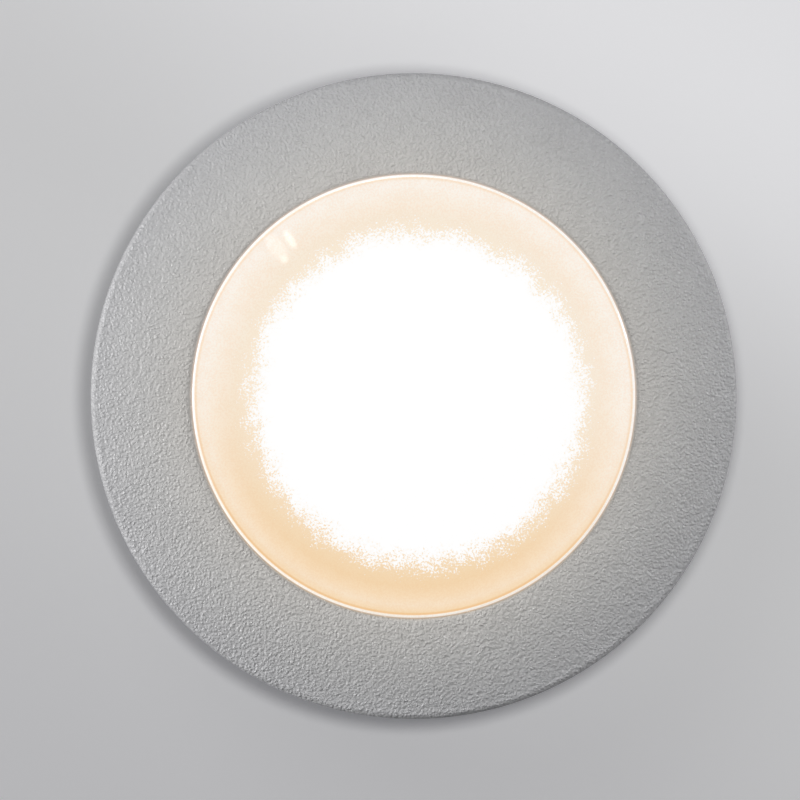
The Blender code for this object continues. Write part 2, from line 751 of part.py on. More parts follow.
def make_lens_gasket():
    """Rubber ring of U section round the flange of the glass."""
    groove = lens_flange_radius + SEAT_GAP
    outline = [
        (gasket_bore, gasket_bottom),
        (gasket_radius, gasket_bottom),
        (gasket_radius, gasket_top),
        (gasket_bore, gasket_top),
        (gasket_bore, gasket_top - GASKET_LIP),
        (groove, gasket_top - GASKET_LIP),
        (groove, gasket_bottom + GASKET_LIP),
        (gasket_bore, gasket_bottom + GASKET_LIP),
    ]
    gasket = turned("lens_gasket", outline, BODY_STEPS)
    paint(gasket, GREY_RUBBER, RUBBER_ROUGHNESS)
    return gasket


def make_reflector_ring():
    """White ring that stands on the ledge round the lamp."""
    outer = neck_bore - REFLECTOR_WALL_GAP
    inner = LAMP_RADIUS + REFLECTOR_LAMP_GAP
    bottom = collar_top + SEAT_GAP
    top = gasket_bottom - REFLECTOR_TOP_GAP
    outline = [
        (inner, bottom),
        (outer, bottom),
        (outer, top),
        (outer - REFLECTOR_LIP, top),
        (inner, top - REFLECTOR_FLARE_HEIGHT),
    ]
    ring = turned("reflector_ring", outline, BODY_STEPS)
    paint(ring, WHITE_PLASTIC, SATIN_ROUGHNESS)


def make_lampholder():
    """Ring with two keyhole slots, in which the lamp's pins twist and lock."""
    outline = [
        (holder_bore, holder_bottom),
        (holder_radius, holder_bottom),
        (holder_radius, holder_top - HOLDER_EDGE),
        (holder_radius - HOLDER_EDGE, holder_top),
        (holder_bore, holder_top),
    ]
    holder = turned("lampholder", outline, BODY_STEPS)
    slot_half = PIN_STEM_RADIUS + PIN_SLOT_GAP
    slot_low = pocket_top - CUT_OVERRUN
    slot_high = holder_top + CUT_OVERRUN
    for k, angle in enumerate(pin_angles):
        pocket = sector(
            f"pin_pocket_{k}",
            pocket_bore,
            pocket_radius,
            holder_bottom - CUT_OVERRUN,
            pocket_top,
            angle - pocket_margin,
            twist_angle + 2 * pocket_margin,
        )
        slot = sector(
            f"pin_slot_{k}",
            pin_circle - slot_half,
            pin_circle + slot_half,
            slot_low,
            slot_high,
            angle,
            twist_angle,
        )
        stop = cylinder(f"pin_stop_{k}", slot_half, slot_low, slot_high)
        stop.location = polar(pin_circle, angle)
        entry = cylinder(
            f"pin_entry_{k}", PIN_HEAD_RADIUS + PIN_ENTRY_GAP, slot_low, slot_high
        )
        entry.location = polar(pin_circle, angle + twist_angle)
        wire_hole = cylinder(
            f"wire_hole_{k}",
            WIRE_RADIUS + WIRE_HOLE_GAP,
            holder_bore - CUT_OVERRUN,
            pocket_bore + CUT_OVERRUN,
            WIRE_STEPS,
        )
        wire_hole.location = (0, 0, wire_height)
        wire_hole.rotation_euler = (0, math.pi / 2, angle + wire_angle)
        for tool in (pocket, slot, stop, entry, wire_hole):
            cut(holder, tool)
    for k, angle in enumerate(holder_screw_angles):
        sink = cylinder(
            f"holder_sink_{k}",
            SCREW_HEAD_RADIUS + SLIDE_GAP,
            holder_screw_seat - SEAT_GAP,
            holder_top + CUT_OVERRUN,
        )
        hole = cylinder(
            f"holder_screw_hole_{k}",
            screw_hole_radius,
            holder_bottom - CUT_OVERRUN,
            holder_screw_seat + CUT_OVERRUN,
        )
        for tool in (sink, hole):
            tool.location = polar(holder_screw_circle, angle)
            cut(holder, tool)
    paint(holder, WHITE_PLASTIC, SATIN_ROUGHNESS)


def make_holder_nut(name, angle):
    """Nut beneath the housing's shelf, on a screw of the lampholder."""
    top = shelf_bottom - SEAT_GAP
    bottom = top - HOLDER_NUT_THICKNESS
    nut = cylinder(name, HOLDER_NUT_RADIUS, bottom, top, HEX_STEPS)
    cut(nut, cylinder(f"{name}_bore", screw_hole_radius, bottom - CUT_OVERRUN, top + CUT_OVERRUN))
    nut.location = polar(holder_screw_circle, angle)
    paint(nut, STEEL, STEEL_ROUGHNESS, metallic=1.0)


def make_contacts():
    """Brass strips in the lampholder's pockets, each with a tongue up to its pin."""
    bore = pocket_bore + SEAT_GAP
    radius = pocket_radius - SEAT_GAP
    tongue_root = holder_bottom + CONTACT_THICKNESS - ROOT_OVERLAP
    for k, angle in enumerate(pin_angles):
        contact = sector(
            f"holder_contact_{k + 1}",
            bore,
            radius,
            holder_bottom,
            holder_bottom + CONTACT_THICKNESS,
            angle - contact_margin,
            twist_angle + 2 * contact_margin,
        )
        tongue = sector(
            f"contact_tongue_{k}",
            bore,
            radius,
            tongue_root,
            pin_head_bottom - CONTACT_RUNNING_GAP,
            angle + twist_angle + contact_margin - tongue_angle,
            tongue_angle,
        )
        add(contact, tongue)
        paint(contact, BRASS, METAL_ROUGHNESS, metallic=1.0)


def make_lamp():
    """Disc lamp: base with hub and pins, driver, light board and opal cover."""
    outline = [
        (0, hub_bottom),
        (hub_radius, hub_bottom),
        (hub_radius, lamp_back),
        (LAMP_RADIUS - LAMP_EDGE, lamp_back),
        (LAMP_RADIUS, lamp_back + LAMP_EDGE),
        (LAMP_RADIUS, lamp_rim - SEAT_GAP),
        (lamp_bore, lamp_rim - SEAT_GAP),
        (lamp_bore, led_board_bottom - SEAT_GAP),
        (lamp_bore - LAMP_LEDGE, led_board_bottom - SEAT_GAP),
        (lamp_bore - LAMP_LEDGE, lamp_floor),
        (hub_radius - LAMP_FLOOR, lamp_floor),
        (hub_radius - LAMP_FLOOR, hub_bottom + LAMP_FLOOR),
        (0, hub_bottom + LAMP_FLOOR),
    ]
    base = turned("lamp_base", outline, BODY_STEPS)
    standoff_top = lamp_floor + STANDOFF_HEIGHT
    for k in range(STANDOFF_COUNT):
        standoff = cylinder(
            f"standoff_{k}", STANDOFF_RADIUS, lamp_floor - ROOT_OVERLAP, standoff_top, WIRE_STEPS
        )
        angle = math.pi / 2 + math.tau * k / STANDOFF_COUNT
        standoff.location = polar(standoff_circle, angle)
        add(base, standoff)
    pieces = [base]

    rivet = lamp_floor + SEAT_GAP
    outline = [
        (0, pin_head_bottom),
        (PIN_HEAD_RADIUS, pin_head_bottom),
        (PIN_HEAD_RADIUS, pin_head_bottom + PIN_HEAD_HEIGHT),
        (PIN_STEM_RADIUS, pin_head_bottom + PIN_HEAD_HEIGHT),
        (PIN_STEM_RADIUS, rivet),
        (PIN_RIVET_RADIUS, rivet),
        (PIN_RIVET_RADIUS, rivet + PIN_RIVET_HEIGHT),
        (0, rivet + PIN_RIVET_HEIGHT),
    ]
    for k, angle in enumerate(pin_angles):
        hole = cylinder(
            f"pin_hole_{k}",
            PIN_STEM_RADIUS + PIN_HOLE_GAP,
            lamp_back - CUT_OVERRUN,
            lamp_floor + CUT_OVERRUN,
        )
        hole.location = polar(pin_circle, angle)
        cut(base, hole)
        pin = turned(f"lamp_pin_{k + 1}", outline, SMALL_STEPS)
        pin.location = polar(pin_circle, angle)
        paint(pin, BRASS, METAL_ROUGHNESS, metallic=1.0)
        pieces.append(pin)
    paint(base, WHITE_PLASTIC, SATIN_ROUGHNESS)

    board_bottom = standoff_top + SEAT_GAP
    board_top = board_bottom + DRIVER_BOARD_THICKNESS
    board = cylinder(
        "driver_board", driver_board_radius, board_bottom, board_top, DRIVER_BOARD_STEPS
    )
    paint(board, CIRCUIT_GREEN, SATIN_ROUGHNESS)
    head_room = led_board_bottom - board_top
    capacitor = cylinder(
        "driver_capacitor", CAPACITOR_RADIUS, 0, head_room - CAPACITOR_HEAD_ROOM
    )
    capacitor.location = (*CAPACITOR_PLACE, board_top + SEAT_GAP)
    paint(capacitor, BLACK_PLASTIC, SATIN_ROUGHNESS)
    low = (-COIL_LENGTH / 2, -COIL_WIDTH / 2, 0)
    high = (COIL_LENGTH / 2, COIL_WIDTH / 2, head_room - COIL_HEAD_ROOM)
    coil = blocks("driver_coil", [(low, high)])
    coil.location = (*COIL_PLACE, board_top + SEAT_GAP)
    paint(coil, COPPER, METAL_ROUGHNESS, metallic=1.0)

    led_board = cylinder(
        "led_board", led_board_radius, led_board_bottom, led_board_top, BODY_STEPS
    )
    emitters = []
    circles = [(LED_OUTER_COUNT, led_outer_circle), (LED_INNER_COUNT, led_outer_circle * LED_INNER_SHARE)]
    half = LED_SIZE / 2
    for count, circle in circles:
        for k in range(count):
            x, y, _ = polar(circle, math.tau * k / count)
            low = (x - half, y - half, led_board_top - ROOT_OVERLAP)
            high = (x + half, y + half, led_board_top + LED_HEIGHT)
            emitters.append((low, high))
    add(led_board, blocks("led_emitters", emitters))
    paint(led_board, WHITE_PLASTIC, SATIN_ROUGHNESS)

    outline = [
        (0, lamp_front - DIFFUSER_PLATE),
        (led_board_radius - SPIGOT_WALL, lamp_front - DIFFUSER_PLATE),
        (led_board_radius - SPIGOT_WALL, spigot_bottom),
        (led_board_radius, spigot_bottom),
        (led_board_radius, lamp_rim),
        (LAMP_RADIUS, lamp_rim),
        *round_corner(LAMP_RADIUS - LAMP_EDGE, lamp_front - LAMP_EDGE, LAMP_EDGE, 0, 90),
        (0, lamp_front),
    ]
    diffuser = turned("lamp_diffuser", outline, BODY_STEPS)
    paint(diffuser, OPAL, SATIN_ROUGHNESS)
    pieces += [board, capacitor, coil, led_board, diffuser]
    return pieces


def make_terminal_block():
    """Two-pole screw terminal on the chamber's floor."""
    block_base = (0, 0, chamber_floor + SEAT_GAP)
    half_width = BLOCK_WIDTH / 2
    low = (-BLOCK_LENGTH / 2, -half_width, 0)
    high = (BLOCK_LENGTH / 2, half_width, BLOCK_HEIGHT)
    block = blocks("terminal_block", [(low, high)])
    block.location = block_base
    screw_hole = CLAMP_SCREW_RADIUS + CLAMP_SCREW_GAP
    clamp_half = half_width - CLAMP_INSET
    screw_low = CLAMP_HEIGHT + CLAMP_BORE_RADIUS
    screw_high = BLOCK_HEIGHT - CLAMP_SCREW_SINK
    number = 0
    for k, side in enumerate((1, -1)):
        x = side * CLAMP_OFFSET
        tunnel = cylinder(
            f"terminal_tunnel_{k}",
            CLAMP_RADIUS + CLAMP_GAP,
            -half_width - CUT_OVERRUN,
            half_width + CUT_OVERRUN,
        )
        tunnel.location = (x, 0, CLAMP_HEIGHT)
        tunnel.rotation_euler = (math.pi / 2, 0, 0)
        cut(block, tunnel)
        clamp = tube(
            f"terminal_clamp_{k + 1}", CLAMP_BORE_RADIUS, CLAMP_RADIUS, -clamp_half, clamp_half
        )
        clamp.location = (x, 0, block_base[2] + CLAMP_HEIGHT)
        clamp.rotation_euler = (math.pi / 2, 0, 0)
        paint(clamp, BRASS, METAL_ROUGHNESS, metallic=1.0)
        for end in (1, -1):
            y = end * (half_width - CLAMP_SCREW_INSET)
            number += 1
            well = cylinder(
                f"terminal_well_{number}", screw_hole, CLAMP_HEIGHT, BLOCK_HEIGHT + CUT_OVERRUN
            )
            well.location = (x, y, 0)
            cut(block, well)
            hole = cylinder(f"clamp_hole_{number}", screw_hole, 0, CLAMP_RADIUS + CUT_OVERRUN)
            hole.location = (0, 0, -y)
            hole.rotation_euler = (-math.pi / 2, 0, 0)
            cut(clamp, hole)
            screw = cylinder(
                f"terminal_screw_{number}",
                CLAMP_SCREW_RADIUS,
                screw_low,
                screw_high,
                SCREW_STEPS,
            )
            cut(screw, slot_tool(screw.name, CLAMP_SCREW_RADIUS, screw_high))
            screw.location = (x, y, block_base[2])
            paint(screw, STEEL, STEEL_ROUGHNESS, metallic=1.0)
    sink = cylinder(
        "terminal_sink",
        SCREW_HEAD_RADIUS + SLIDE_GAP,
        BLOCK_SCREW_FLOOR,
        BLOCK_HEIGHT + CUT_OVERRUN,
    )
    hole = cylinder(
        "terminal_hole", screw_hole_radius, -CUT_OVERRUN, BLOCK_SCREW_FLOOR + CUT_OVERRUN
    )
    cut(block, sink)
    cut(block, hole)
    paint(block, WHITE_PLASTIC, SATIN_ROUGHNESS)


def make_wires():
    """Two leads that rise from the terminal block's clamps to the lampholder's contacts."""
    start_y = BLOCK_WIDTH / 2 - WIRE_INSERTION
    exit_y = BLOCK_WIDTH / 2 + WIRE_LEAD
    pull = thread_start + WIRE_PULL_OVERRUN - exit_y
    low = chamber_floor + SEAT_GAP + CLAMP_HEIGHT
    for name, side, pin_angle in zip(("wire_live", "wire_neutral"), (1, -1), pin_angles):
        angle = pin_angle + wire_angle
        exit_point = Vector((side * CLAMP_OFFSET, exit_y, low))
        entry_point = Vector(polar(holder_bore - WIRE_LEAD, angle, wire_height))
        pull_out = exit_point + Vector((0, pull, 0))
        pull_in = entry_point - Vector(polar(pull, angle))
        points = [Vector((side * CLAMP_OFFSET, start_y, low))]
        for k in range(WIRE_POINT_COUNT):
            share = k / (WIRE_POINT_COUNT - 1)
            rest = 1 - share
            points.append(
                rest**3 * exit_point
                + 3 * rest**2 * share * pull_out
                + 3 * rest * share**2 * pull_in
                + share**3 * entry_point
            )
        points.append(Vector(polar(pocket_bore, angle, wire_height)))
        curve = bpy.data.curves.new(name, "CURVE")
        curve.dimensions = "3D"
        curve.bevel_depth = WIRE_RADIUS
        curve.bevel_resolution = WIRE_BEVEL_STEPS
        curve.use_fill_caps = True
        spline = curve.splines.new("POLY")
        spline.points.add(len(points) - 1)
        for place, point in zip(spline.points, points):
            place.co = (*point, 1.0)
        wire = bpy.data.objects.new(name, curve)
        bpy.context.scene.collection.objects.link(wire)
        paint(wire, WIRE_COLOURS[name], SATIN_ROUGHNESS)


def hex_piece(name, hex_radius, hex_start, hex_end, body, bore):
    """Hexagon about +Z, joined with a turned body and bored by a turned cutter."""
    piece = cylinder(name, hex_radius, hex_start, hex_end, HEX_STEPS)
    if body:
        add(piece, turned(f"{name}_body", body, ENTRY_STEPS))
    if bore:
        cut(piece, turned(f"{name}_bore", bore, ENTRY_STEPS))
    return piece


def make_entry_fixings(axis, washer_name, locknut_name):
    """Washer outside and locknut inside the housing, on one entry's axis."""
    washer = tube(
        washer_name, entry_hole_radius, WASHER_RADIUS, washer_start, washer_end, ENTRY_STEPS
    )
    paint(washer, GREY_RUBBER, RUBBER_ROUGHNESS)
    bore = [
        (0, locknut_start - CUT_OVERRUN),
        (entry_hole_radius, locknut_start - CUT_OVERRUN),
        (entry_hole_radius, locknut_end + CUT_OVERRUN),
        (0, locknut_end + CUT_OVERRUN),
    ]
    locknut = hex_piece(
        locknut_name, ENTRY_HEX_RADIUS, locknut_start, locknut_end, None, bore
    )
    paint(locknut, BLACK_PLASTIC, SATIN_ROUGHNESS)
    carry(axis, washer, locknut)


def make_gland():
    """Cable gland: bored body, rubber seal and a nut that squeezes the seal on the cable."""
    axis = axis_empty("gland_axis", (0, 0, entry_height), (math.pi / 2, 0, 0))
    make_entry_fixings(axis, "gland_washer", "gland_locknut")
    body = [
        (0, thread_start),
        (ENTRY_THREAD_RADIUS, thread_start),
        (ENTRY_THREAD_RADIUS, collar_end),
        (0, collar_end),
    ]
    bore = [
        (0, thread_start - CUT_OVERRUN),
        (ENTRY_BORE_RADIUS, thread_start - CUT_OVERRUN),
        (ENTRY_BORE_RADIUS, seal_seat),
        (seal_seat_radius, seal_seat),
        (seal_seat_radius, collar_end + CUT_OVERRUN),
        (0, collar_end + CUT_OVERRUN),
    ]
    gland = hex_piece("gland_body", ENTRY_HEX_RADIUS, hex_start, hex_end, body, bore)
    paint(gland, BLACK_PLASTIC, SATIN_ROUGHNESS)

    seal = tube(
        "gland_seal",
        SEAL_BORE_RADIUS,
        seal_seat_radius - SEAL_SIDE_GAP,
        seal_start,
        seal_end,
        ENTRY_STEPS,
    )
    paint(seal, BLACK_PLASTIC, RUBBER_ROUGHNESS)

    nut_inner = ENTRY_THREAD_RADIUS + ENTRY_THREAD_GAP
    body = [
        (0, nut_start),
        (NUT_DOME_RADIUS, nut_start),
        *round_corner(
            NUT_DOME_RADIUS - NUT_DOME_EDGE, nut_end - NUT_DOME_EDGE, NUT_DOME_EDGE, 0, 90
        ),
        (0, nut_end),
    ]
    bore = [
        (0, nut_start - CUT_OVERRUN),
        (nut_inner, nut_start - CUT_OVERRUN),
        (nut_inner, nut_face),
        (ENTRY_BORE_RADIUS, nut_face),
        (ENTRY_BORE_RADIUS, nut_end + CUT_OVERRUN),
        (0, nut_end + CUT_OVERRUN),
    ]
    nut = hex_piece(
        "gland_nut", NUT_HEX_RADIUS, nut_start, nut_start + NUT_HEX_LENGTH, body, bore
    )
    paint(nut, BLACK_PLASTIC, SATIN_ROUGHNESS)
    carry(axis, gland, seal, nut)


def make_blanking_plug():
    """Plug that closes the entry on the far side."""
    axis = axis_empty("plug_axis", (0, 0, entry_height), (-math.pi / 2, 0, 0))
    make_entry_fixings(axis, "plug_washer", "plug_locknut")
    body = [
        (0, thread_start),
        (ENTRY_THREAD_RADIUS, thread_start),
        (ENTRY_THREAD_RADIUS, hex_start + ROOT_OVERLAP),
        (0, hex_start + ROOT_OVERLAP),
    ]
    plug = hex_piece("blanking_plug", ENTRY_HEX_RADIUS, hex_start, hex_end, body, None)
    paint(plug, BLACK_PLASTIC, SATIN_ROUGHNESS)
    carry(axis, plug)


def main():
    """Build every piece in place and group the moving ones on their axes."""
    clear_scene()
    make_sleeve()
    make_housing()
    make_wiring_cup()
    for k, angle in enumerate(fixing_angles):
        place = polar(screw_circle, angle, collar_top + SEAT_GAP)
        make_screw(f"fixing_screw_{k + 1}", FIXING_SCREW_LENGTH, place)
    carry(axis_empty("trim_axis", (0, 0, 0)), make_trim_ring())
    carry(axis_empty("lens_axis", (0, 0, 0)), make_lens(), make_lens_gasket())
    make_reflector_ring()
    make_lampholder()
    make_contacts()
    for k, angle in enumerate(holder_screw_angles):
        place = polar(holder_screw_circle, angle, holder_screw_seat)
        make_screw(f"holder_screw_{k + 1}", HOLDER_SCREW_LENGTH, place)
        make_holder_nut(f"holder_nut_{k + 1}", angle)
    carry(axis_empty("lamp_axis", (0, 0, 0)), *make_lamp())
    make_terminal_block()
    make_screw("terminal_fixing_screw", BLOCK_SCREW_LENGTH, (0, 0, block_screw_seat))
    make_wires()
    make_gland()
    make_blanking_plug()


main()
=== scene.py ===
# Round recessed pathway light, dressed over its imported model. Lengths below are in millimetres and
# are turned to metres where they reach Blender.
import math

import bmesh
import bpy
from mathutils import Matrix, Vector, noise


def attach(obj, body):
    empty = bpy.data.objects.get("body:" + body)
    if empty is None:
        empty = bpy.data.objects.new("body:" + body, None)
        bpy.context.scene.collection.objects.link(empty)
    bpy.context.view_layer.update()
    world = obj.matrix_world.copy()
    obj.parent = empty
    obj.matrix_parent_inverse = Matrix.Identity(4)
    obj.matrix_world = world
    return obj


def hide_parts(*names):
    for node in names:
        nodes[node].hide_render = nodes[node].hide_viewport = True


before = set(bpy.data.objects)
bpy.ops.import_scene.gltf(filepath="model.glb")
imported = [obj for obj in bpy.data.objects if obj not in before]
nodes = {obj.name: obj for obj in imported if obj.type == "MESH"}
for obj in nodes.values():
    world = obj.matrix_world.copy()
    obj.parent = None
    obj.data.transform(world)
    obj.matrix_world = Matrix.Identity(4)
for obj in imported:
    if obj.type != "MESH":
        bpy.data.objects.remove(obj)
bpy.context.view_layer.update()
mm = 0.001
print("frame loaded:", len(nodes), "nodes")


def linear(hexColour):  # sRGB hex to the linear colour that a socket takes
    parts = [int(hexColour[k:k + 2], 16) / 255 for k in (1, 3, 5)]
    return [c / 12.92 if c <= 0.04045 else ((c + 0.055) / 1.055) ** 2.4 for c in parts] + [1.0]


def join(tree, node, links):  # sockets into a node's inputs
    for name, socket in links.items():
        tree.links.new(socket, node.inputs[name])


def addNode(tree, kind, values=None, links=None, **settings):
    node = tree.nodes.new("ShaderNode" + kind)
    for name, value in settings.items():
        setattr(node, name, value)
    for name, value in (values or {}).items():
        node.inputs[name].default_value = value
    join(tree, node, links or {})
    return node


def mapSpans(source, target=(0, 1)):  # values of a Map Range node
    return {"From Min": source[0], "From Max": source[1], "To Min": target[0], "To Max": target[1]}


def fillRamp(node, stops, smooth="LINEAR"):  # stops of (position, hex colour)
    ramp = node.color_ramp
    ramp.interpolation = smooth
    while len(ramp.elements) > 1:
        ramp.elements.remove(ramp.elements[-1])
    ramp.elements[0].position = stops[0][0]
    ramp.elements[0].color = linear(stops[0][1])
    for position, colour in stops[1:]:
        ramp.elements.new(position).color = linear(colour)
    return node


# Camera, straight above the face of the light, as in the photograph
faceHeight = 85   # the height of the ring's widest part, which the camera and the lamps are set from
cameraValues = {
    "focalLength": 1000,
    "frameWidth": 148.66,     # of the photograph, at that height
    "middle": (-2.535, -0.727),
    "clipEnd": 20000,
}
cameraData = bpy.data.cameras.new("photoCamera")
cameraData.lens = cameraValues["focalLength"]
cameraData.clip_end = cameraValues["clipEnd"] * mm
camera = bpy.data.objects.new("photoCamera", cameraData)
bpy.context.scene.collection.objects.link(camera)
cameraDistance = cameraValues["frameWidth"] * cameraData.lens / cameraData.sensor_width
camera.location = (
    cameraValues["middle"][0] * mm,
    cameraValues["middle"][1] * mm,
    (faceHeight + cameraDistance) * mm,
)
bpy.context.scene.camera = camera
bpy.context.scene.view_settings.view_transform = "Standard"
print("camera placed")


def onCircle(radius, azimuth, height=0.0):  # azimuth in degrees
    turn = math.radians(azimuth)
    return Vector((radius * math.cos(turn), radius * math.sin(turn), height))


# Soft boxes. A share is the light that the box lays on a level surface, where 1 makes white white.
# Only boxAbove lights the floor too: the shadows of the others would lie across it.
boxDistance = 2600
boxes = {
    "boxRight": {"share": 0.13, "azimuth": 18, "elevation": 13, "size": 420, "onFloor": False},
    "boxLeft": {"share": 0.295, "azimuth": 177, "elevation": 15, "size": 1250, "onFloor": False},
    "boxHigh": {"share": 0.19, "azimuth": 100, "elevation": 58, "size": 900, "onFloor": False},
    "boxAbove": {"share": 0.05, "azimuth": 125, "elevation": 72, "size": 900, "onFloor": True},
}
litByBoxes = bpy.data.collections.new("litByBoxes")
for name, box in boxes.items():
    elevation = math.radians(box["elevation"])
    light = bpy.data.lights.new(name, "AREA")
    light.shape = "DISK"
    light.size = box["size"] * mm
    light.energy = box["share"] * (math.pi * boxDistance * mm) ** 2 / math.sin(elevation)
    softBox = bpy.data.objects.new(name, light)
    along = boxDistance * math.cos(elevation)
    above = faceHeight + boxDistance * math.sin(elevation)
    softBox.location = onCircle(along, box["azimuth"], above) * mm
    softBox.rotation_euler = (math.pi / 2 - elevation, 0, math.radians(box["azimuth"] + 90))
    softBox.visible_camera = False
    if not box["onFloor"]:
        softBox.light_linking.receiver_collection = litByBoxes
    bpy.context.scene.collection.objects.link(softBox)

# Overhead lamp: near enough to throw a shadow a little larger than the ring, so a soft dark line shows
# all round. It stands to the upper right, so the line is broader at the lower left.
# Its mirror image would cover half the glass, so the glass is left out of it.
overhead = {"share": 0.28, "azimuth": 26, "offset": 25, "height": 2097, "size": 76}
litByOverhead = bpy.data.collections.new("litByOverhead")
light = bpy.data.lights.new("overhead", "AREA")
light.shape = "DISK"
light.size = overhead["size"] * mm
light.energy = overhead["share"] * (math.pi * (overhead["height"] - faceHeight) * mm) ** 2
overheadLamp = bpy.data.objects.new("overhead", light)
overheadLamp.location = onCircle(overhead["offset"], overhead["azimuth"], overhead["height"]) * mm
overheadLamp.visible_camera = False
overheadLamp.light_linking.receiver_collection = litByOverhead
bpy.context.scene.collection.objects.link(overheadLamp)

# Two small strip lamps high above, which show only as the highlights on the glass
strips = {
    "stripBright": {"place": (-27.9, 36.3, 1090), "size": (4.6, 1.6), "turn": 122, "radiance": 5.5},
    "stripDot": {"place": (-29.2, 31.8, 1090), "size": (1.9, 1.5), "turn": 60, "radiance": 4.5},
    "stripFaint": {"place": (-31.1, 34.6, 1090), "size": (6.6, 3.4), "turn": 125, "radiance": 1.9},
}
for name, strip in strips.items():
    light = bpy.data.lights.new(name, "AREA")
    light.shape = "ELLIPSE"
    light.size = strip["size"][0] * mm
    light.size_y = strip["size"][1] * mm
    light.energy = strip["radiance"] * math.pi * math.pi * light.size * light.size_y / 4
    stripLamp = bpy.data.objects.new(name, light)
    stripLamp.location = Vector(strip["place"]) * mm
    stripLamp.rotation_euler = (0, 0, math.radians(strip["turn"]))
    stripLamp.visible_camera = False
    bpy.context.scene.collection.objects.link(stripLamp)


def seenDirectly(tree):  # 1 where the camera, a reflection or glass sees it, 0 for the light it gives
    lightPath = addNode(tree, "LightPath")
    glossy = addNode(tree, "Math", links={0: lightPath.outputs["Is Camera Ray"],
                     1: lightPath.outputs["Is Glossy Ray"]}, operation="MAXIMUM")
    seen = addNode(tree, "Math", links={0: glossy.outputs[0],
                   1: lightPath.outputs["Is Transmission Ray"]}, operation="MAXIMUM")
    return seen.outputs[0]


roomValues = {"colour": "#f1f2f4", "onObject": 0.06, "seen": 0.55}
world = bpy.data.worlds.new("paleRoom")
bpy.context.scene.world = world
world.use_nodes = True
tree = world.node_tree
strength = addNode(tree, "MapRange", mapSpans((0, 1), (roomValues["onObject"], roomValues["seen"])),
                   {"Value": seenDirectly(tree)})
tree.nodes["Background"].inputs["Color"].default_value = linear(roomValues["colour"])
tree.links.new(strength.outputs["Result"], tree.nodes["Background"].inputs["Strength"])

# Floor: pale matt board, a little brighter to the upper right. That brightening, and the lighter and
# darker corners, are painted light in the emission that the camera sees.
floorValues = {
    "size": 4000,
    "low": "#b8b8ba", "middle": "#c6c6c7", "high": "#dfdfe1",   # the painted light shades that the camera sees
    "run": 190,             # from the low shade to the high one
    "turn": -65,            # degrees, the way in which they run
    "twist": 12.0,          # per square metre, painted shade in two corners and painted light in the other two
    "twistEnd": 0.006,      # square metres, where the twist stops
    "board": "#f2f2f2",     # the board's own colour
    "roughness": 0.9,
    "lampLight": (0.33, 0.13),   # taken off the shade, as the lamps add it: near by, and far off
    "farOff": 2000,
    "paintedShadowUnderSleeve": (46, 51),   # radii between which painted shadow darkens the board beneath the sleeve
}
shape = bmesh.new()
bmesh.ops.create_grid(shape, x_segments=8, y_segments=8, size=floorValues["size"] * mm / 2)
mesh = bpy.data.meshes.new("paleFloor")
shape.to_mesh(mesh)
shape.free()
floor = bpy.data.objects.new("paleFloor", mesh)
bpy.context.scene.collection.objects.link(floor)
floorBoard = bpy.data.materials.new("paleBoard")
floorBoard.use_nodes = True
tree = floorBoard.node_tree
coords = addNode(tree, "TexCoord")
# painted light gradient across the board
turned = addNode(tree, "Mapping", {"Rotation": (0, 0, math.radians(floorValues["turn"])),
                 "Scale": [1000 / floorValues["run"]] * 3, "Location": (0.5, 0, 0)},
                 {"Vector": coords.outputs["Object"]})
along = addNode(tree, "SeparateXYZ", links={0: turned.outputs[0]})
across = addNode(tree, "SeparateXYZ", links={0: coords.outputs["Object"]})
corners = addNode(tree, "Math", links={0: across.outputs["X"], 1: across.outputs["Y"]},
                  operation="MULTIPLY")
twisted = addNode(tree, "Clamp", {"Min": -floorValues["twistEnd"],
                  "Max": floorValues["twistEnd"]}, {"Value": corners.outputs[0]})
place = addNode(tree, "Math", {1: floorValues["twist"]}, {0: twisted.outputs[0],
                2: along.outputs["X"]}, operation="MULTIPLY_ADD")
shade = fillRamp(addNode(tree, "ValToRGB", links={0: place.outputs[0]}),
                 [(0.0, floorValues["low"]), (0.5, floorValues["middle"]), (1.0, floorValues["high"])],
                 "EASE")
boardShader = tree.nodes["Principled BSDF"]
fromMiddle = addNode(tree, "VectorMath", links={0: coords.outputs["Object"]},
                     operation="LENGTH")
reach = (0, floorValues["farOff"] * mm)
lampPart = addNode(tree, "MapRange", mapSpans(reach, floorValues["lampLight"]),
                   {"Value": fromMiddle.outputs["Value"]}, interpolation_type="SMOOTHSTEP")
less = addNode(tree, "VectorMath", links={0: shade.outputs[0], 1: lampPart.outputs["Result"]},
               operation="SUBTRACT")
# painted shadow: the board's emission fades out beneath the sleeve
beside = addNode(tree, "MapRange", mapSpans([radius * mm for radius in floorValues["paintedShadowUnderSleeve"]]),
                 {"Value": fromMiddle.outputs["Value"]})
shown = addNode(tree, "Math", links={0: seenDirectly(tree), 1: beside.outputs["Result"]},
                operation="MULTIPLY")
glow = addNode(tree, "VectorMath", links={0: less.outputs[0], "Scale": shown.outputs[0]},
               operation="SCALE")
tree.links.new(glow.outputs[0], boardShader.inputs["Emission Color"])
boardShader.inputs["Emission Strength"].default_value = 1
boardShader.inputs["Base Color"].default_value = linear(floorValues["board"])
boardShader.inputs["Roughness"].default_value = floorValues["roughness"]
boardShader.inputs["Specular IOR Level"].default_value = 0.0
mesh.materials.append(floorBoard)
litByBoxes.objects.link(floor)
litByBoxes.collection_objects[0].light_linking.link_state = "EXCLUDE"
print("lights and floor placed")


# Materials. Patterns are laid out on Object coordinates, so they stay on a piece as it moves.
def startMaterial(name, roughness, metallic=0.0, ior=None):
    material = bpy.data.materials.new(name)
    material.use_nodes = True
    tree = material.node_tree
    shader = tree.nodes["Principled BSDF"]
    shader.inputs["Roughness"].default_value = roughness
    shader.inputs["Metallic"].default_value = metallic
    if ior:
        shader.inputs["IOR"].default_value = ior
    coords = addNode(tree, "TexCoord").outputs["Object"]
    return material, tree, shader, coords


def perMetre(size):  # texture scale whose cells have this size in millimetres
    return 1000 / size


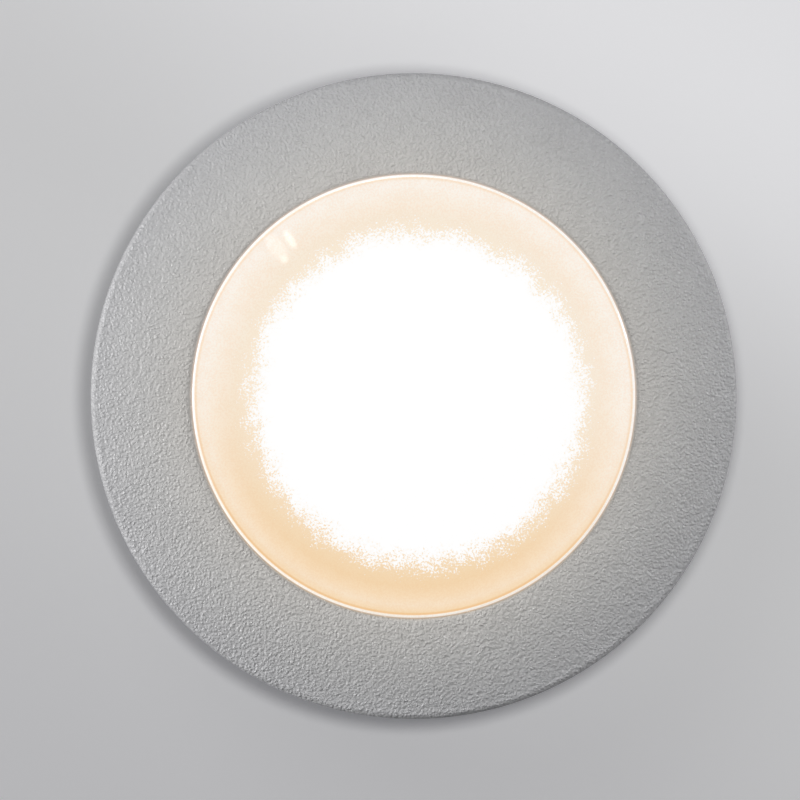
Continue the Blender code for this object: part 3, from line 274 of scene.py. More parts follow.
def waveScale(size):  # Wave texture scale whose lines are this far apart in millimetres
    return perMetre(size) * math.tau / 20


noiseSpan = (0.3, 0.7)   # nearly all of a noise lies between these

mouldValues = {
    "skinShare": 0.35,        # of the skin in the colour, beside the flow marks
    "tones": (0.42, 0.95),    # where the pattern is darkest and lightest
    "uneven": (-0.07, 0.07),  # in the roughness
}


def mouldedPlastic(name, values):
    # Moulded plastic: cloudy flow marks, a spark-eroded skin and slightly uneven gloss
    material, tree, shader, coords = startMaterial(name, values["roughness"], ior=values["ior"])
    flow = addNode(tree, "TexNoise", {"Scale": perMetre(values["flow"]), "Detail": 3,
                   "Distortion": 0.6}, {"Vector": coords})
    skin = addNode(tree, "TexNoise", {"Scale": perMetre(values["skin"]), "Detail": 4,
                   "Roughness": 0.6}, {"Vector": coords})
    both = addNode(tree, "Math", {1: mouldValues["skinShare"]}, {0: skin.outputs["Fac"],
                   2: flow.outputs["Fac"]}, operation="MULTIPLY_ADD")
    darkAt, lightAt = mouldValues["tones"]
    colour = fillRamp(addNode(tree, "ValToRGB", links={0: both.outputs[0]}),
                      [(darkAt, values["dark"]), (lightAt, values["light"])])
    roughness = [values["roughness"] + uneven for uneven in mouldValues["uneven"]]
    gloss = addNode(tree, "MapRange", mapSpans(noiseSpan, roughness), {"Value": flow.outputs["Fac"]})
    relief = addNode(tree, "Bump", {"Strength": values["strength"],
                     "Distance": values["depth"] * mm}, {"Height": skin.outputs["Fac"]})
    join(tree, shader, {"Base Color": colour.outputs[0], "Roughness": gloss.outputs["Result"],
         "Normal": relief.outputs[0]})
    return material


# flow: size of the flow marks in mm. skin: size of the spark-eroded grain in mm, drawn coarser than
# the real 0.05 mm so that it shows. depth: of that grain, in mm.
plasticValues = {
    "nylonSleeve": {"dark": "#141415", "light": "#2b2b2d", "flow": 22, "skin": 0.45, "depth": 0.05,
                    "strength": 0.5, "roughness": 0.55, "ior": 1.53},   # glass-filled polypropylene
    "nylonHousing": {"dark": "#2c2d30", "light": "#434448", "flow": 18, "skin": 0.4, "depth": 0.04,
                     "strength": 0.4, "roughness": 0.48, "ior": 1.53},   # glass-filled nylon
    "whitePolycarbonate": {"dark": "#dcdbd6", "light": "#f1f0ec", "flow": 14, "skin": 0.3,
                           "depth": 0.02, "strength": 0.3, "roughness": 0.36, "ior": 1.58},
    "creamPolybutylene": {"dark": "#d3d0c4", "light": "#e9e6dc", "flow": 12, "skin": 0.3,
                          "depth": 0.02, "strength": 0.35, "roughness": 0.42, "ior": 1.55},
    "milkyPolyamide": {"dark": "#d9dad2", "light": "#eff0ea", "flow": 6, "skin": 0.25, "depth": 0.02,
                       "strength": 0.3, "roughness": 0.4, "ior": 1.53},   # terminal block
    "blackPolyamide": {"dark": "#18181a", "light": "#303135", "flow": 8, "skin": 0.25, "depth": 0.02,
                       "strength": 0.35, "roughness": 0.4, "ior": 1.53},   # gland and plug
    "brownVinyl": {"dark": "#4a2412", "light": "#6b3a20", "flow": 5, "skin": 0.2, "depth": 0.01,
                   "strength": 0.3, "roughness": 0.38, "ior": 1.53},   # wire insulation
    "blueVinyl": {"dark": "#1b3f86", "light": "#2f62b8", "flow": 5, "skin": 0.2, "depth": 0.01,
                  "strength": 0.3, "roughness": 0.38, "ior": 1.53},
    "capacitorSleeve": {"dark": "#101418", "light": "#20262c", "flow": 5, "skin": 0.2, "depth": 0.01,
                        "strength": 0.2, "roughness": 0.3, "ior": 1.53},
}
plastics = {name: mouldedPlastic(name, values) for name, values in plasticValues.items()}


def softRubber(name, values):
    # Moulded rubber: dull, dusted with talc in its low spots, with a fine orange-peel skin
    material, tree, shader, coords = startMaterial(name, values["roughness"], ior=1.52)
    peel = addNode(tree, "TexVoronoi", {"Scale": perMetre(values["peel"])},
                   {"Vector": coords}, feature="SMOOTH_F1")
    dust = addNode(tree, "TexNoise", {"Scale": perMetre(values["dust"]), "Detail": 5},
                   {"Vector": coords})
    amount = addNode(tree, "MapRange", mapSpans(values["talcSpan"]), {"Value": dust.outputs["Fac"]})
    colour = addNode(tree, "Mix", {6: linear(values["body"]), 7: linear(values["talc"])},
                     {0: amount.outputs["Result"]}, data_type="RGBA")
    relief = addNode(tree, "Bump", {"Strength": values["strength"],
                     "Distance": values["depth"] * mm}, {"Height": peel.outputs["Distance"]})
    join(tree, shader, {"Base Color": colour.outputs[2], "Normal": relief.outputs[0]})
    return material


turnedValues = {
    "tones": (0.3, 0.65),     # where the stains are darkest and lightest
    "wear": (-0.08, 0.10),    # in the roughness, from rubbed bright to stained
    "strength": 0.25,
    "depth": 0.01,            # mm, of a turning line
}


def metalPiece(name, values):
    # Machined or plated metal: fine turning lines round Z, faint stains, brighter where handled
    material, tree, shader, coords = startMaterial(name, values["roughness"], 1.0)
    stain = addNode(tree, "TexNoise", {"Scale": perMetre(values["stain"]), "Detail": 4},
                    {"Vector": coords})
    lines = addNode(tree, "TexWave", {"Scale": waveScale(values["lines"]),
                    "Distortion": 1.5, "Detail": 2}, {"Vector": coords}, wave_type="RINGS",
                    rings_direction="Z")
    darkAt, lightAt = turnedValues["tones"]
    colour = fillRamp(addNode(tree, "ValToRGB", links={0: stain.outputs["Fac"]}),
                      [(darkAt, values["dark"]), (lightAt, values["light"])])
    roughness = [values["roughness"] + wear for wear in turnedValues["wear"]]
    gloss = addNode(tree, "MapRange", mapSpans(noiseSpan, roughness), {"Value": stain.outputs["Fac"]})
    relief = addNode(tree, "Bump", {"Strength": turnedValues["strength"],
                     "Distance": turnedValues["depth"] * mm}, {"Height": lines.outputs["Fac"]})
    join(tree, shader, {"Base Color": colour.outputs[0], "Roughness": gloss.outputs["Result"],
         "Normal": relief.outputs[0]})
    return material


# stain: size of the cloudy marks in mm. lines: spacing of the turning marks in mm, drawn as broad
# swells, because the real lines of 0.1 mm are too fine to show
metalValues = {
    "zincPlatedSteel": {"dark": "#a9adb0", "light": "#d2d5d8", "stain": 1.6, "lines": 1.885,
                        "roughness": 0.32},
    "nickelledBrass": {"dark": "#b4935a", "light": "#e0c58a", "stain": 2.0, "lines": 1.885,
                       "roughness": 0.28},
    "springBrass": {"dark": "#a9803a", "light": "#dcb766", "stain": 2.5, "lines": 2.513,
                    "roughness": 0.34},
}
metals = {name: metalPiece(name, values) for name, values in metalValues.items()}

# peel: size of the orange-peel cells in mm. dust: size of the talc patches in mm, whose noise makes
# them start and be full at talcSpan. depth: of the peel, in mm.
moulded = {"talcSpan": (0.45, 0.75), "strength": 0.5, "depth": 0.03}
rubberValues = {
    "siliconeGasket": {"body": "#6d6259", "talc": "#8d8379", "peel": 0.35, "dust": 5,
                       "roughness": 0.62, **moulded},
    "blackNitrile": {"body": "#151517", "talc": "#3c3c3e", "peel": 0.3, "dust": 4,
                     "roughness": 0.7, **moulded},
}
rubbers = {name: softRubber(name, values) for name, values in rubberValues.items()}

laminateValues = {
    "greenLaminate": {"mask": "#1d4f2c", "copper": "#2f7442"},
    "whiteLaminate": {"mask": "#e4e4df", "copper": "#f2f2ee"},
    "field": 4,               # mm, from one gap between the tracks to the next
    "gap": (0.10, 0.16),      # of a field, where a gap ends and its track starts
    "weave": 0.5,             # mm, of the glass cloth beneath
    "weaveShare": 0.2,        # of the tracks' height
    "strength": 0.4,
    "depth": 0.04,            # mm, of the tracks
    "roughness": 0.3,
}


def circuitLaminate(name):
    # Glass-epoxy board under solder mask: glossy, tracks show as paler bands a little proud
    v = laminateValues
    material, tree, shader, coords = startMaterial(name, v["roughness"], ior=1.55)
    fields = {"Scale": perMetre(v["field"]), "Randomness": 0.55}
    tracks = addNode(tree, "TexVoronoi", fields, {"Vector": coords}, feature="F2",
                     distance="CHEBYCHEV")
    cells = addNode(tree, "TexVoronoi", fields, {"Vector": coords}, feature="F1",
                    distance="CHEBYCHEV")
    gap = addNode(tree, "Math", links={0: tracks.outputs["Distance"],
                  1: cells.outputs["Distance"]}, operation="SUBTRACT")
    line = addNode(tree, "MapRange", mapSpans(v["gap"]), {"Value": gap.outputs[0]})
    weave = addNode(tree, "TexNoise", {"Scale": perMetre(v["weave"]), "Detail": 2},
                    {"Vector": coords})
    height = addNode(tree, "Math", {1: v["weaveShare"]}, {0: weave.outputs["Fac"],
                     2: line.outputs["Result"]}, operation="MULTIPLY_ADD")
    colour = addNode(tree, "Mix", {6: linear(v[name]["mask"]), 7: linear(v[name]["copper"])},
                     {0: line.outputs["Result"]}, data_type="RGBA")
    relief = addNode(tree, "Bump", {"Strength": v["strength"], "Distance": v["depth"] * mm},
                     {"Height": height.outputs[0]})
    join(tree, shader, {"Base Color": colour.outputs[2], "Normal": relief.outputs[0]})
    return material


laminates = {name: circuitLaminate(name) for name in ("greenLaminate", "whiteLaminate")}

windingValues = {
    "turns": 3.142,           # mm, one band of turns, drawn coarser than the real 0.5 mm wire
    # dark, middle and light: painted shade between the turns up to painted highlight on the crowns
    "dark": "#5c2a14", "middle": "#b4683a", "light": "#dc9562",
    "strength": 0.8,
    "depth": 0.15,            # mm, between two bands
    "roughness": 0.26,
}


def enamelledCopper():
    # Enamelled copper wire, wound: bands across the coil, with a painted highlight along each crown and
    # painted shade between the turns
    v = windingValues
    material, tree, shader, coords = startMaterial("enamelledCopper", v["roughness"], 1.0)
    turns = addNode(tree, "TexWave", {"Scale": waveScale(v["turns"]), "Distortion": 0.3},
                    {"Vector": coords}, wave_type="BANDS", bands_direction="X")
    colour = fillRamp(addNode(tree, "ValToRGB", links={0: turns.outputs["Fac"]}),
                      [(0.0, v["dark"]), (0.5, v["middle"]), (1.0, v["light"])])
    relief = addNode(tree, "Bump", {"Strength": v["strength"], "Distance": v["depth"] * mm},
                     {"Height": turns.outputs["Fac"]})
    join(tree, shader, {"Base Color": colour.outputs[0], "Normal": relief.outputs[0]})
    return material


opalValues = {
    "dark": "#efe9dc", "light": "#faf6ee",
    "clouds": 12,             # mm
    "grain": 0.3,             # mm, drawn coarser than the real satin skin
    "strength": 0.3,
    "depth": 0.02,            # mm
    "roughness": 0.35,
    "milk": 0.25,             # share of the light that goes in and scatters
    "reach": (4.0, 3.5, 3.0),   # mm, how far red, green and blue go in it
}


def opalPolycarbonate():
    # Opal polycarbonate: milky, light scatters under a satin skin, with faint flow clouds
    v = opalValues
    material, tree, shader, coords = startMaterial("opalPolycarbonate", v["roughness"], ior=1.58)
    clouds = addNode(tree, "TexNoise", {"Scale": perMetre(v["clouds"]), "Detail": 3},
                     {"Vector": coords})
    grain = addNode(tree, "TexNoise", {"Scale": perMetre(v["grain"]), "Detail": 3},
                    {"Vector": coords})
    colour = fillRamp(addNode(tree, "ValToRGB", links={0: clouds.outputs["Fac"]}),
                      [(noiseSpan[0], v["dark"]), (noiseSpan[1], v["light"])])
    relief = addNode(tree, "Bump", {"Strength": v["strength"], "Distance": v["depth"] * mm},
                     {"Height": grain.outputs["Fac"]})
    shader.inputs["Subsurface Weight"].default_value = v["milk"]
    shader.inputs["Subsurface Radius"].default_value = [reach * mm for reach in v["reach"]]
    shader.inputs["Subsurface Scale"].default_value = 0.5
    join(tree, shader, {"Base Color": colour.outputs[0], "Normal": relief.outputs[0]})
    return material


copperWinding = enamelledCopper()
opalCover = opalPolycarbonate()


def radiusOf(tree, coords):  # distance from the light's axis, in millimetres
    flat = addNode(tree, "VectorMath", {1: (1000, 1000, 0)}, {0: coords},
                   operation="MULTIPLY")
    length = addNode(tree, "VectorMath", links={0: flat.outputs[0]}, operation="LENGTH")
    return length.outputs["Value"]


# Trim ring: polyester resin cast in a mould with a leather grain. Mid grey, satin, with a painted glow
# of the lamp in its colour: lighter and warmer by the glass, darker grey towards the rim. The grain
# catches light from one side and reads as fine worm-like ridges.
resinValues = {
    # inner, mean and outer carry the painted glow: lighter and warmer by the glass, darker towards the
    # rim
    "inner": "#b5b2ae", "mean": "#acabaa", "outer": "#a2a2a4",   # from the glass to the rim
    "span": (41.0, 60.5),       # mm, radii of the first and the last of them
    "meanAt": 0.45,             # of that span
    "cloud": 7,                 # mm, size of the cloudy patches
    "cloudTone": (0.975, 1.025),
    "grain": 0.54,              # mm, one pebble of the grain
    "bend": 0.9,                # of a pebble, how far its outline is bent
    "pebble": (0.8, 0.75),      # its reach, and its height in the middle
    "worm": (0.8, 0.8),         # size of the worm-like ridges, in pebbles, and their height
    "fine": 0.40,               # mm, drawn coarser than the real sanding marks
    "fineHeight": 0.22,
    "heights": (0.3, 1.3),      # of all these together, from the valleys to the crests
    "heightTone": (0.93, 1.06),     # darker in the valleys and lighter on the crests
    "heightWear": (0.08, -0.06),    # the valleys are duller, while the crests are rubbed
    "grainDepth": 0.15,         # mm
    "strength": 0.85,
    "smoothStrength": 0.15,     # the same on the parts without the leather grain
    "deepSide": 298,            # degrees, where the grain is crisp, while it is worn on the other side
    "sideReach": 50,            # mm, from the worn side to the middle and on to the crisp side
    "deeper": (1.45, 2.45),     # times the depth, from worn to crisp
    "roughness": 0.46,
}


def castResin(grained):
    v = resinValues
    name = "grainedPolyesterResin" if grained else "smoothPolyesterResin"
    material, tree, shader, coords = startMaterial(name, v["roughness"], ior=1.55)
    share = addNode(tree, "MapRange", mapSpans(v["span"]), {"Value": radiusOf(tree, coords)})
    # painted glow of the lamp, laid by radius into the resin's colour
    paintedGlowTone = fillRamp(addNode(tree, "ValToRGB", links={0: share.outputs["Result"]}),
                    [(0.0, v["inner"]), (v["meanAt"], v["mean"]), (1.0, v["outer"])])
    cloud = addNode(tree, "TexNoise", {"Scale": perMetre(v["cloud"]), "Detail": 4},
                    {"Vector": coords})
    warp = addNode(tree, "TexNoise", {"Scale": perMetre(v["grain"]), "Detail": 2},
                   {"Vector": coords})
    push = addNode(tree, "VectorMath", {1: [v["bend"] * v["grain"] * mm] * 3},
                   {0: warp.outputs["Color"]}, operation="MULTIPLY")
    bent = addNode(tree, "VectorMath", links={0: coords, 1: push.outputs[0]}, operation="ADD")
    pebbles = addNode(tree, "TexVoronoi", {"Scale": perMetre(v["grain"]),
                      "Smoothness": 0.6}, {"Vector": bent.outputs[0]}, feature="SMOOTH_F1")
    swells = addNode(tree, "MapRange", mapSpans((0, v["pebble"][0]), (v["pebble"][1], 0)),
                     {"Value": pebbles.outputs["Distance"]})
    ridges = addNode(tree, "TexNoise", {"Scale": perMetre(v["worm"][0] * v["grain"]),
                     "Detail": 2, "Roughness": 0.5}, {"Vector": coords})
    worms = addNode(tree, "Math", {1: v["worm"][1]}, {0: ridges.outputs["Fac"],
                    2: swells.outputs["Result"]}, operation="MULTIPLY_ADD")
    sanding = addNode(tree, "TexNoise", {"Scale": perMetre(v["fine"]), "Detail": 3},
                      {"Vector": coords})
    height = addNode(tree, "Math", {1: v["fineHeight"]}, {0: sanding.outputs["Fac"],
                     2: worms.outputs[0]}, operation="MULTIPLY_ADD")
    acrossRing = addNode(tree, "VectorMath", {1: onCircle(1, v["deepSide"])}, {0: coords},
                         operation="DOT_PRODUCT")
    sides = (-v["sideReach"] * mm, v["sideReach"] * mm)
    deeper = addNode(tree, "MapRange", mapSpans(sides, v["deeper"]),
                     {"Value": acrossRing.outputs["Value"]})
    deep = addNode(tree, "Math", links={0: height.outputs[0], 1: deeper.outputs["Result"]},
                   operation="MULTIPLY")
    valley = addNode(tree, "MapRange", mapSpans(v["heights"], v["heightTone"]),
                     {"Value": height.outputs[0]})
    mottle = addNode(tree, "MapRange", mapSpans(noiseSpan, v["cloudTone"]),
                     {"Value": cloud.outputs["Fac"]})
    shade = addNode(tree, "Math", links={0: valley.outputs["Result"],
                    1: mottle.outputs["Result"]}, operation="MULTIPLY")
    colour = addNode(tree, "VectorMath", links={0: paintedGlowTone.outputs[0], "Scale": shade.outputs[0]},
                     operation="SCALE")
    roughness = [v["roughness"] + wear for wear in v["heightWear"]]
    gloss = addNode(tree, "MapRange", mapSpans((0, 1), roughness), {"Value": height.outputs[0]})
    strength = v["strength"] if grained else v["smoothStrength"]
    relief = addNode(tree, "Bump", {"Strength": strength, "Distance": v["grainDepth"] * mm},
                     {"Height": deep.outputs[0]})
    join(tree, shader, {"Base Color": colour.outputs[0], "Roughness": gloss.outputs["Result"],
         "Normal": relief.outputs[0]})
    return material


grainedResin = castResin(True)
smoothResin = castResin(False)
print("materials made")


# Glass: tempered, 9 mm, sandblasted beneath. The lamp's light through it is painted into the glass
# as its own emission: a white disc in a warm halo, and at the ground edge a bright rim with an amber
# line inside it, which fades to a dim grey-brown, painted shade at the gap by the ring.
glassValues = {
    "edge": 41.4,           # mm, where the two tables below end
    "upper": [(0.0, "#f7e8d2"), (31.0, "#f7e8d2"), (33.4, "#f7ead8"), (35.3, "#f9ecdc"),
              (37.2, "#faf0e3"), (38.9, "#fbf3e9"), (40.15, "#fbf2e8"), (40.38, "#f9e7d3"),
              (40.56, "#f7dfc4"), (40.66, "#fbf0e2"), (40.76, "#fffdfa"), (41.12, "#fffdfa"),
              (41.22, "#d6cac2"), (41.4, "#b9aca4")],
    "lower": [(0.0, "#f4d9b5"), (31.0, "#f4d9b5"), (33.4, "#f3d7b0"), (35.3, "#f3d5ad"),
              (37.2, "#f7dcb9"), (38.9, "#f8e2c6"), (40.15, "#f6dbb6"), (40.38, "#f1c794"),
              (40.56, "#efbf86"), (40.66, "#f8dfbd"), (40.76, "#fff8ee"), (41.12, "#fffaf2"),
              (41.22, "#d6c4b2"), (41.4, "#b9a794")],
    "warmSide": 265,        # degrees, where the halo is warmest, and takes the lower table
    "warmReach": (-10, 36),     # mm, from the upper table to the lower one
    "core": 30.9,           # mm, radius of the white disc
    "coreMiddle": (0.9, -0.35),   # mm, the painted white disc sits a little off the glass's middle
    "fade": 4.8,            # mm, over which the disc breaks up into specks
    "fadePush": 1.35,       # how far the disc's level rises and falls there
    "speckle": 0.34,        # mm, grain of the sandblasting, coarser than the real 0.1 mm
    "speckSpan": (0.45, 0.90),   # the pattern's values from the darkest speck to the lightest
    "speckPush": 0.9,       # how far they push that level down and up
    "speckEdge": 0.45,      # half of the step in level across a speck's edge
    "patches": (3.5, 0.35),      # mm, and share in the pattern, of broader patches in the blasting
    "ownShare": 0.30,       # of each colour given as emission, the painted glow of the lamp beneath
    "paintedGlowShare": 0.785,     # of each colour that the lamp beneath brings out
    "grains": 0.16,         # how far the single grains in the halo lean to amber, at most
    "grainSpan": (0.56, 0.80),
    "amber": "#e9b878", "white": "#ffffff",
    "roughness": 0.014,
    "ripple": (0.02, 0.01),      # strength, and depth in mm, of the polished top
}


def litGlass():
    v = glassValues
    material, tree, shader, coords = startMaterial("sandblastedGlass", v["roughness"], ior=1.52)
    share = addNode(tree, "MapRange", mapSpans((0, v["edge"])), {"Value": radiusOf(tree, coords)})
    halos = {}
    for side in ("upper", "lower"):
        stops = [(place / v["edge"], colour) for place, colour in v[side]]
        ramp = addNode(tree, "ValToRGB", links={0: share.outputs["Result"]})
        halos[side] = fillRamp(ramp, stops)
    lean = addNode(tree, "VectorMath", {1: onCircle(1, v["warmSide"])}, {0: coords},
                   operation="DOT_PRODUCT")
    warm = addNode(tree, "MapRange", mapSpans([reach * mm for reach in v["warmReach"]]),
                   {"Value": lean.outputs["Value"]}, interpolation_type="SMOOTHSTEP")
    halo = addNode(tree, "Mix", links={0: warm.outputs["Result"],
                   6: halos["upper"].outputs[0], 7: halos["lower"].outputs[0]}, data_type="RGBA")
    grit = addNode(tree, "TexNoise", {"Scale": perMetre(v["speckle"]), "Detail": 2,
                   "Roughness": 0.65}, {"Vector": coords})
    patches = addNode(tree, "TexNoise", {"Scale": perMetre(v["patches"][0]), "Detail": 2},
                      {"Vector": coords})
    rough = addNode(tree, "Math", {1: v["patches"][1]}, {0: patches.outputs["Fac"],
                    2: grit.outputs["Fac"]}, operation="MULTIPLY_ADD")
    offset = [-value * mm for value in v["coreMiddle"]] + [0]
    toMiddle = addNode(tree, "VectorMath", {1: offset}, {0: coords}, operation="ADD")
    fadeSpan = (v["core"] - v["fade"], v["core"] + v["fade"])
    fade = addNode(tree, "MapRange", mapSpans(fadeSpan, (v["fadePush"], -v["fadePush"])),
                   {"Value": radiusOf(tree, toMiddle.outputs[0])})
    speck = addNode(tree, "MapRange", mapSpans(v["speckSpan"], (-v["speckPush"], v["speckPush"])),
                    {"Value": rough.outputs[0]}, clamp=False)
    level = addNode(tree, "Math", links={0: fade.outputs["Result"], 1: speck.outputs["Result"]},
                    operation="ADD")
    amount = addNode(tree, "MapRange", mapSpans((-v["speckEdge"], v["speckEdge"])),
                     {"Value": level.outputs[0]}, interpolation_type="SMOOTHSTEP")
    grains = addNode(tree, "MapRange", mapSpans(v["grainSpan"], (0, v["grains"])),
                     {"Value": rough.outputs[0]})
    grained = addNode(tree, "Mix", {7: linear(v["amber"])}, {0: grains.outputs["Result"],
                      6: halo.outputs[2]}, data_type="RGBA")
    glow = addNode(tree, "Mix", {7: linear(v["white"])}, {0: amount.outputs["Result"],
                   6: grained.outputs[2]}, data_type="RGBA")
    own = addNode(tree, "VectorMath", {"Scale": v["ownShare"]}, {0: glow.outputs[2]},
                  operation="SCALE")
    tree.links.new(own.outputs[0], shader.inputs["Base Color"])
    # painted glow: emission in the glass stands in for the lamp's light shining through
    tree.links.new(glow.outputs[2], shader.inputs["Emission Color"])
    shader.inputs["Emission Strength"].default_value = v["paintedGlowShare"]
    relief = addNode(tree, "Bump", {"Strength": v["ripple"][0],
                     "Distance": v["ripple"][1] * mm}, {"Height": patches.outputs["Fac"]})
    tree.links.new(relief.outputs[0], shader.inputs["Normal"])
    return material


glassMaterial = litGlass()


# Shaping
def smoothShade(mesh):  # smooth, apart from edges that turn by more than 32 degrees
    mesh.shade_smooth()
    mesh.set_sharp_from_angle(angle=math.radians(32))


def toObject(name, shape, material):
    bmesh.ops.remove_doubles(shape, verts=shape.verts, dist=0.002 * mm)
    bmesh.ops.recalc_face_normals(shape, faces=shape.faces)
    mesh = bpy.data.meshes.new(name)
    shape.to_mesh(mesh)
    shape.free()
    mesh.materials.append(material)
    smoothShade(mesh)
    piece = bpy.data.objects.new(name, mesh)
    bpy.context.scene.collection.objects.link(piece)
    return piece


def lathe(shape, outline, steps):  # adds an outline of (radius, height) turned about Z
    points = [shape.verts.new((radius * mm, 0, height * mm)) for radius, height in outline]
    edges = [shape.edges.new(pair) for pair in zip(points, points[1:])]
    if outline[0][0] > 0:
        edges.append(shape.edges.new((points[-1], points[0])))
    bmesh.ops.spin(shape, geom=points + edges, cent=(0, 0, 0), axis=(0, 0, 1), angle=math.tau,
                   steps=steps, use_merge=True)


def turnedPiece(name, values, material):
    shape = bmesh.new()
    lathe(shape, values["outline"], values["steps"])
    return toObject(name, shape, material)


def ridge(shape, section, startAngle, turns, steps=144):  # adds one closed thread ridge
    start = Matrix.Rotation(math.radians(startAngle), 3, "Z")
    points = [shape.verts.new(start @ Vector((radius, 0, height)) * mm) for radius, height in section]
    loop = points + points[:1]
    edges = [shape.edges.new(pair) for pair in zip(loop, loop[1:])]
    count = round(turns * steps)
    made = bmesh.ops.spin(shape, geom=points + edges, cent=(0, 0, 0), axis=(0, 0, 1),
                          dvec=(0, 0, threadPitch * turns * mm / count), angle=math.tau * turns,
                          steps=count)
    for end in (made["geom_last"], edges):
        rim = [item for item in end if isinstance(item, bmesh.types.BMEdge)]
        bmesh.ops.contextual_create(shape, geom=rim)


def rounded(radius, height, size, start, end, steps):  # points of a rounded corner in an outline
    turns = [math.radians(start + (end - start) * k / steps) for k in range(steps + 1)]
    return [(radius + size * math.cos(turn), height + size * math.sin(turn)) for turn in turns]


def roundTool(radius, low, high, place, steps):  # cylinder along Z, then placed
    shape = bmesh.new()
    bmesh.ops.create_cone(shape, cap_ends=True, segments=steps, radius1=radius * mm,
                          radius2=radius * mm, depth=(high - low) * mm,
                          matrix=place @ Matrix.Translation((0, 0, (low + high) / 2 * mm)))
    return toObject("tool", shape, smoothResin)


def boxTool(low, high, place):
    shape = bmesh.new()
    size = Matrix.Diagonal([(b - a) * mm for a, b in zip(low, high)] + [1])
    middle = Matrix.Translation([(a + b) / 2 * mm for a, b in zip(low, high)])
    bmesh.ops.create_cube(shape, size=1, matrix=place @ middle @ size)
    return toObject("tool", shape, smoothResin)


def standing(circle, azimuth):  # place of an upright tool on a circle
    return Matrix.Translation(onCircle(circle * mm, azimuth))


def sideways(side):  # place of a tool along a cable entry: side is 1 or -1
    return Matrix.Translation((0, 0, cableHeight * mm)) @ Matrix.Rotation(side * math.pi / 2, 4, "X")


def carve(piece, tools, operation="DIFFERENCE"):  # applies the Booleans and drops the tools
    for tool in tools:
        step = piece.modifiers.new("carve", "BOOLEAN")
        step.solver = "EXACT"
        step.operation = operation
        step.material_mode = "INDEX"
        step.object = tool
    bpy.context.view_layer.update()
    seenBy = bpy.context.evaluated_depsgraph_get()
    mesh = bpy.data.meshes.new_from_object(piece.evaluated_get(seenBy))
    piece.modifiers.clear()
    old = piece.data
    piece.data = mesh
    bpy.data.meshes.remove(old)
    for tool in tools:
        bpy.data.objects.remove(tool)
    mesh.name = piece.name
    smoothShade(mesh)


def softEdges(piece):  # small rounds of 0.25 mm along the sharp edges
    step = piece.modifiers.new("softEdges", "BEVEL")
    step.width = 0.25 * mm
    step.segments = 2
    step.limit_method = "ANGLE"
    step.angle_limit = math.radians(50)


def settle(piece, body, slot, *replaced):
    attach(piece, body)
    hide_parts(*replaced)


# Sizes that several pieces share
threadPitch = 5.0
screwAngles = (0, 120, 240)
screwCircle = 47.0
screwHole = 1.55
cableHeight = 21.0

# Trim ring: crowned resin ring with a grained top, on a skirt with one turn of thread
ringValues = {
    "radius": 60.0, "opening": 41.4, "lipTop": 89.6, "lipBottom": 86.9, "edgeTop": 86.6,
    "underside": 84.0, "grooveRadius": 52.6, "grooveTop": 84.6, "skirtRadius": 49.0,
    "skirtBore": 46.4, "skirtBottom": 71.6, "skirtChamfer": 0.3, "edgeRound": 1.4,
    "edgeChamfer": 0.4, "lipRound": 0.5, "crownPower": 1.6, "crownSteps": 46, "steps": 960,
    "thread": [(46.9, 71.8), (44.9, 72.3), (44.9, 73.5), (46.9, 74.0)],
    "threadStart": 251.4,   # degrees, when the ring is screwed home
    "threadTurns": 1.0,
    "unevenness": 0.022,    # mm, of the cast surface
    "unevenMost": 1.5,      # times that
    "sink": 0.01,           # mm, so that the swells stay beneath the crown's true height
    "wave": 2.2,            # mm, across one swell of it
    "grainedFrom": 84.5,    # the leather grain covers what lies above this
}


def crownHeight(radius):
    start = ringValues["opening"] + ringValues["lipRound"]
    end = ringValues["radius"] - ringValues["edgeRound"]
    share = (radius - start) / (end - start)
    drop = ringValues["lipTop"] - ringValues["edgeTop"]
    return ringValues["lipTop"] - drop * share ** ringValues["crownPower"]


def makeTrimRing():
    v = ringValues
    crownStart = v["opening"] + v["lipRound"]
    crownEnd = v["radius"] - v["edgeRound"]
    crown = [crownEnd + (crownStart - crownEnd) * k / v["crownSteps"] for k in range(1, v["crownSteps"])]
    outline = [
        (v["skirtBore"], v["skirtBottom"] + v["skirtChamfer"]),
        (v["skirtBore"] + v["skirtChamfer"], v["skirtBottom"]),
        (v["skirtRadius"] - v["skirtChamfer"], v["skirtBottom"]),
        (v["skirtRadius"], v["skirtBottom"] + v["skirtChamfer"]),
        (v["skirtRadius"], v["grooveTop"]), (v["grooveRadius"], v["grooveTop"]),
        (v["grooveRadius"], v["underside"]), (v["radius"] - v["edgeChamfer"], v["underside"]),
        (v["radius"], v["underside"] + v["edgeChamfer"]),
        *rounded(crownEnd, v["edgeTop"] - v["edgeRound"], v["edgeRound"], 0, 90, 7),
        *[(radius, crownHeight(radius)) for radius in crown],
        *rounded(crownStart, v["lipTop"] - v["lipRound"], v["lipRound"], 90, 180, 5),
        (v["opening"], v["lipBottom"]), (v["skirtBore"], v["lipBottom"]),
    ]
    shape = bmesh.new()
    lathe(shape, outline, v["steps"])
    for point in shape.verts:   # the crown swells a little, as a cast surface does
        radius = point.co.xy.length / mm
        if point.co.z / mm > v["edgeTop"] - 0.2 and radius > v["opening"] + 0.3:
            swell = noise.fractal(point.co / (v["wave"] * mm), 0.9, 2.1, 3)
            swell = max(-v["unevenMost"], min(v["unevenMost"], swell))
            point.co.z += swell * v["unevenness"] * mm - v["sink"] * mm
    ridge(shape, v["thread"], v["threadStart"], v["threadTurns"])
    ring = toObject("trimRing", shape, smoothResin)
    ring.data.materials.append(grainedResin)
    for face in ring.data.polygons:
        middle = face.center / mm
        outside = middle.xy.length > v["opening"] - 0.01
        if middle.z > v["grainedFrom"] and outside and face.normal.z > -0.2:
            face.material_index = 1
    settle(ring, "trim", "trim_resin", "trim_ring")


